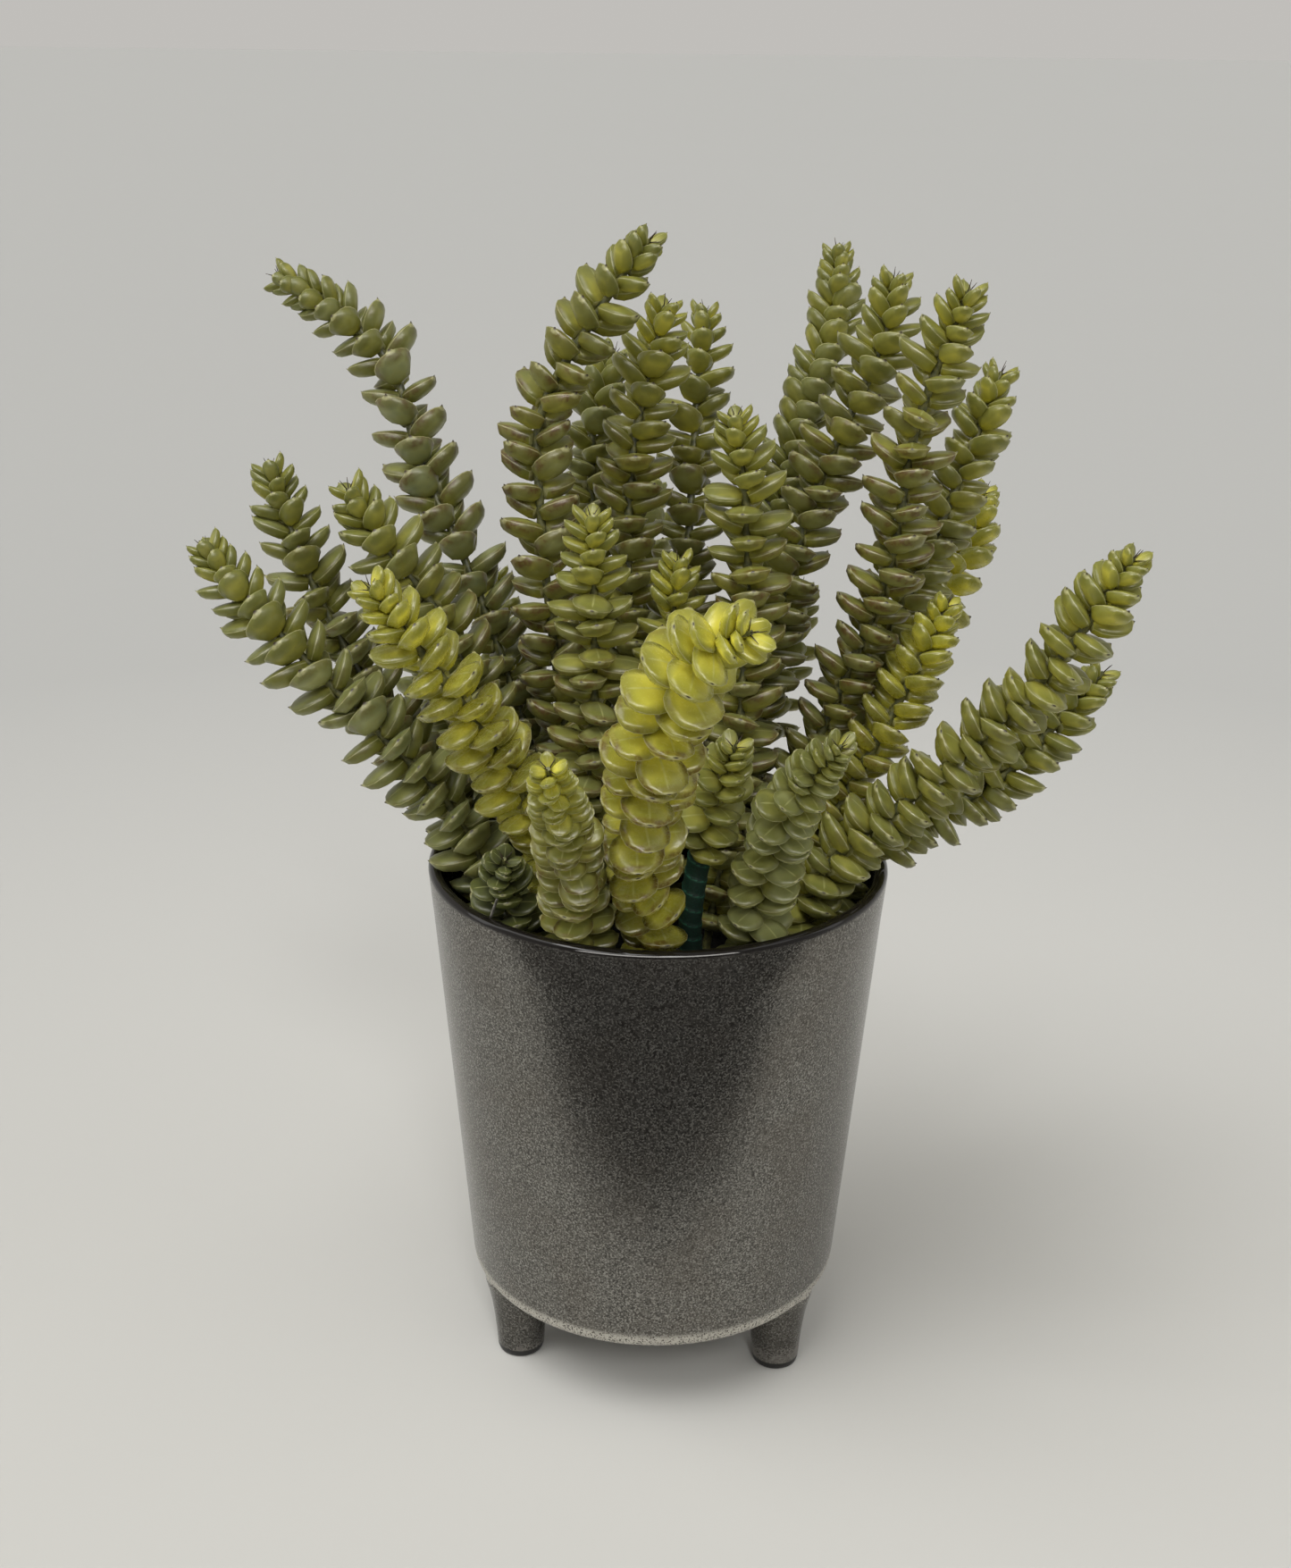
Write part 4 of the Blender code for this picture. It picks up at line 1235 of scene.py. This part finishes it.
bm = bmesh.new()
foam_radius = inner_wall_radius(FILLING_TOP) - FOAM_GAP
rings = []
for ring in range(1, FOAM_RINGS + 1):
    radius = foam_radius * ring / FOAM_RINGS
    row = []
    for side in range(FOAM_SIDES):
        turn = side * math.tau / FOAM_SIDES
        point = Vector((radius * math.cos(turn), radius * math.sin(turn), 0))
        lift = noise.noise(point / LUMP_SIZE) + CRUMB_SHARE * noise.noise(point / CRUMB_SIZE)
        calm = min(1.0, (1 - ring / FOAM_RINGS) * EDGE_CALM)
        point.z = FOAM_TOP + FOAM_ROUGHNESS * lift * calm
        row.append(bm.verts.new(point))
    rings.append(row)
rings.append([bm.verts.new((*vert.co.xy, FILLING_TOP - FOAM_DEPTH)) for vert in rings[-1]])
join_rings(bm, rings)
middle = bm.verts.new((0, 0, FOAM_TOP))
for side in range(FOAM_SIDES):
    bm.faces.new((rings[0][side], rings[0][(side + 1) % FOAM_SIDES], middle))
bm.faces.new(rings[-1])
foam = new_object("flower_foam", close_mesh("flower_foam", bm))
foam.data.shade_smooth()

# Phenolic foam, cut: a dead matt, crumbly surface that is almost black inside the pot.
crumbs = ((0.0, "#0d0d0c"), (0.5, "#1f1e1b"), (0.9, "#35332d"))
cells = ("ShaderNodeTexVoronoi", 0.9 * MM, {})
foam_finish = patterned("cut_flower_foam", {"Roughness": 0.95}, cells, crumbs, (0.8, 0.4 * MM))[0]
foam.data.materials.append(foam_finish)
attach(foam, "root")
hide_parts("filling")
print("faces in the foam:", len(foam.data.polygons))

# %% [markdown]
# ## The taped stalk
# One short stem sits on a thick wire that is wound with green paper tape. The winding follows a rule,
# so Geometry Nodes make it: a tube is swept along the stalk, and every point is pushed out by how far
# it has got through the current turn of tape, which leaves one raised edge that climbs in a helix.

# %% Build the tree that winds a tape
STALK_SIDES = 32

winder, given, winder_sockets = new_tree("wound_tape", (
    ("Radius", "NodeSocketFloat", 2.75 * MM), ("Tape step", "NodeSocketFloat", 4.5 * MM),
    ("Tape thickness", "NodeSocketFloat", 0.28 * MM), ("Tape finish", "NodeSocketMaterial", None),
))
line = add(winder, "GeometryNodeMeshToCurve", (given.outputs["Geometry"],))
length = add(winder, "GeometryNodeSplineParameter").outputs["Length"]
measured = add(winder, "GeometryNodeStoreNamedAttribute", {
    "Geometry": line, "Name": "wound_along", "Value": length,
}, data_type="FLOAT")
section = add(winder, "GeometryNodeCurvePrimitiveCircle", {"Resolution": STALK_SIDES, "Radius": 1.0})
angle = add(winder, "GeometryNodeSplineParameter").outputs["Factor"]
section = add(winder, "GeometryNodeStoreNamedAttribute", {
    "Geometry": section, "Name": "wound_round", "Value": angle,
}, data_type="FLOAT")
tube = add(winder, "GeometryNodeCurveToMesh", {
    "Curve": measured, "Profile Curve": section, "Scale": given.outputs["Radius"], "Fill Caps": True,
})
reached, share_round = [
    add(winder, READ, {"Name": label}, data_type="FLOAT") for label in ("wound_along", "wound_round")
]
turns = add(winder, MATH, (reached, given.outputs["Tape step"]), operation="DIVIDE")
turns = add(winder, MATH, (turns, share_round), **PLUS)
through = add(winder, MATH, (turns,), operation="FRACT")
pushed = add(winder, MATH, (through, given.outputs["Tape thickness"]), **TIMES)
outward = add(winder, "GeometryNodeInputNormal")
shift = add(winder, "ShaderNodeVectorMath", (outward, pushed), operation="SCALE")
wound = add(winder, "GeometryNodeSetPosition", {"Geometry": tube, "Offset": shift})
wound = add(winder, "GeometryNodeStoreNamedAttribute", {
    "Geometry": wound, "Name": "tape_turn", "Value": through,
}, data_type="FLOAT")
wound = add(winder, "GeometryNodeSetShadeSmooth", (wound,))
wound = add(winder, "GeometryNodeRealizeInstances", (wound,))
wound = add(winder, "GeometryNodeSetMaterial", {
    "Geometry": wound, "Material": given.outputs["Tape finish"],
})
add(winder, "NodeGroupOutput", {"Geometry": wound})
print("nodes in the winder:", len(winder.nodes))

# %% [markdown]
# ## The tape on the stalk
# Waxed crepe paper is stretched while it is wound, so it is a dull green with fine creases, and paler
# at the raised edge of each turn. The tree above leaves that on the mesh as an attribute, and the
# finish reads it. The line that the tape is wound on follows the route of the short stem.

# %% Make the tape and wind it
STALK_STEP = 0.4 * MM
STALK_SUNK_STEPS = 10

# Waxed crepe paper, stretched and wound: satin rather than glossy.
tape_finish, tree, shader, paper = patterned(
    "waxed_paper_tape", {"Roughness": 0.6}, (NOISE, 0.5 * MM, {"Detail": 3}),
    ((0.3, "#0a2b20"), (0.7, "#124433")), (0.5, 0.15 * MM),
)
through = add(tree, "ShaderNodeAttribute", attribute_name="tape_turn").outputs["Fac"]
raised = add(tree, RANGE, (through, 0.8, 0.97, 0.0, 0.5), **SMOOTH)
feed(shader, {"Base Color": layered(tree, paper, (("#3f8f70", raised),))})

steps = range(-STALK_SUNK_STEPS, int(STALK_TOP_ALONG / STALK_STEP) + 1)
stalk_points = [routes[ON_STALK].place(step * STALK_STEP) for step in steps]
stalk = new_object("wound_stalk", new_mesh("stalk_line", stalk_points, chain(stalk_points)))
grow(stalk, winder, winder_sockets, {"Tape finish": tape_finish})
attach(stalk, "root")
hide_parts("taped_stalk")
print("stalk top in mm:", round(max(vert.co.z for vert in stalk.data.vertices) / MM, 1))

# %% [markdown]
# ## A loose wire end
# Each stem has a steel wire in its middle, and beside the left rim one of them ends bare: a thin
# bright line that rises out of the filling. It is a tube along a curve, so the tree that wound the
# tape sweeps it too, with no thickness of tape.

# %% Sweep the wire along a curve of its own
WIRE_MM = ((-46, -24, 112), (-44, -35, 128), (-42.5, -41, 138), (-37.8, -42, 150))
WIRE_RADIUS = 0.35 * MM
WIRE_STEPS = 20

# Bare tinned steel wire, drawn and cut: thin, and still bright between dull patches.
greys = ((0.35, "#77746d"), (0.65, "#b9b6ad"))
bright_metal = {"Roughness": 0.35, "Metallic": 0.9}
wire_finish = patterned("tinned_steel_wire", bright_metal, (NOISE, 1.1 * MM, {}), greys)[0]
wire_points = interpolate_bezier(*[Vector(point) * MM for point in WIRE_MM], WIRE_STEPS)
wire = new_object("loose_wire", new_mesh("wire_line", wire_points, chain(wire_points)))
grow(wire, winder, winder_sockets, {
    "Radius": WIRE_RADIUS, "Tape thickness": 0.0, "Tape finish": wire_finish,
})
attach(wire, "root")
print("faces in the wire:", len(wire.data.polygons))
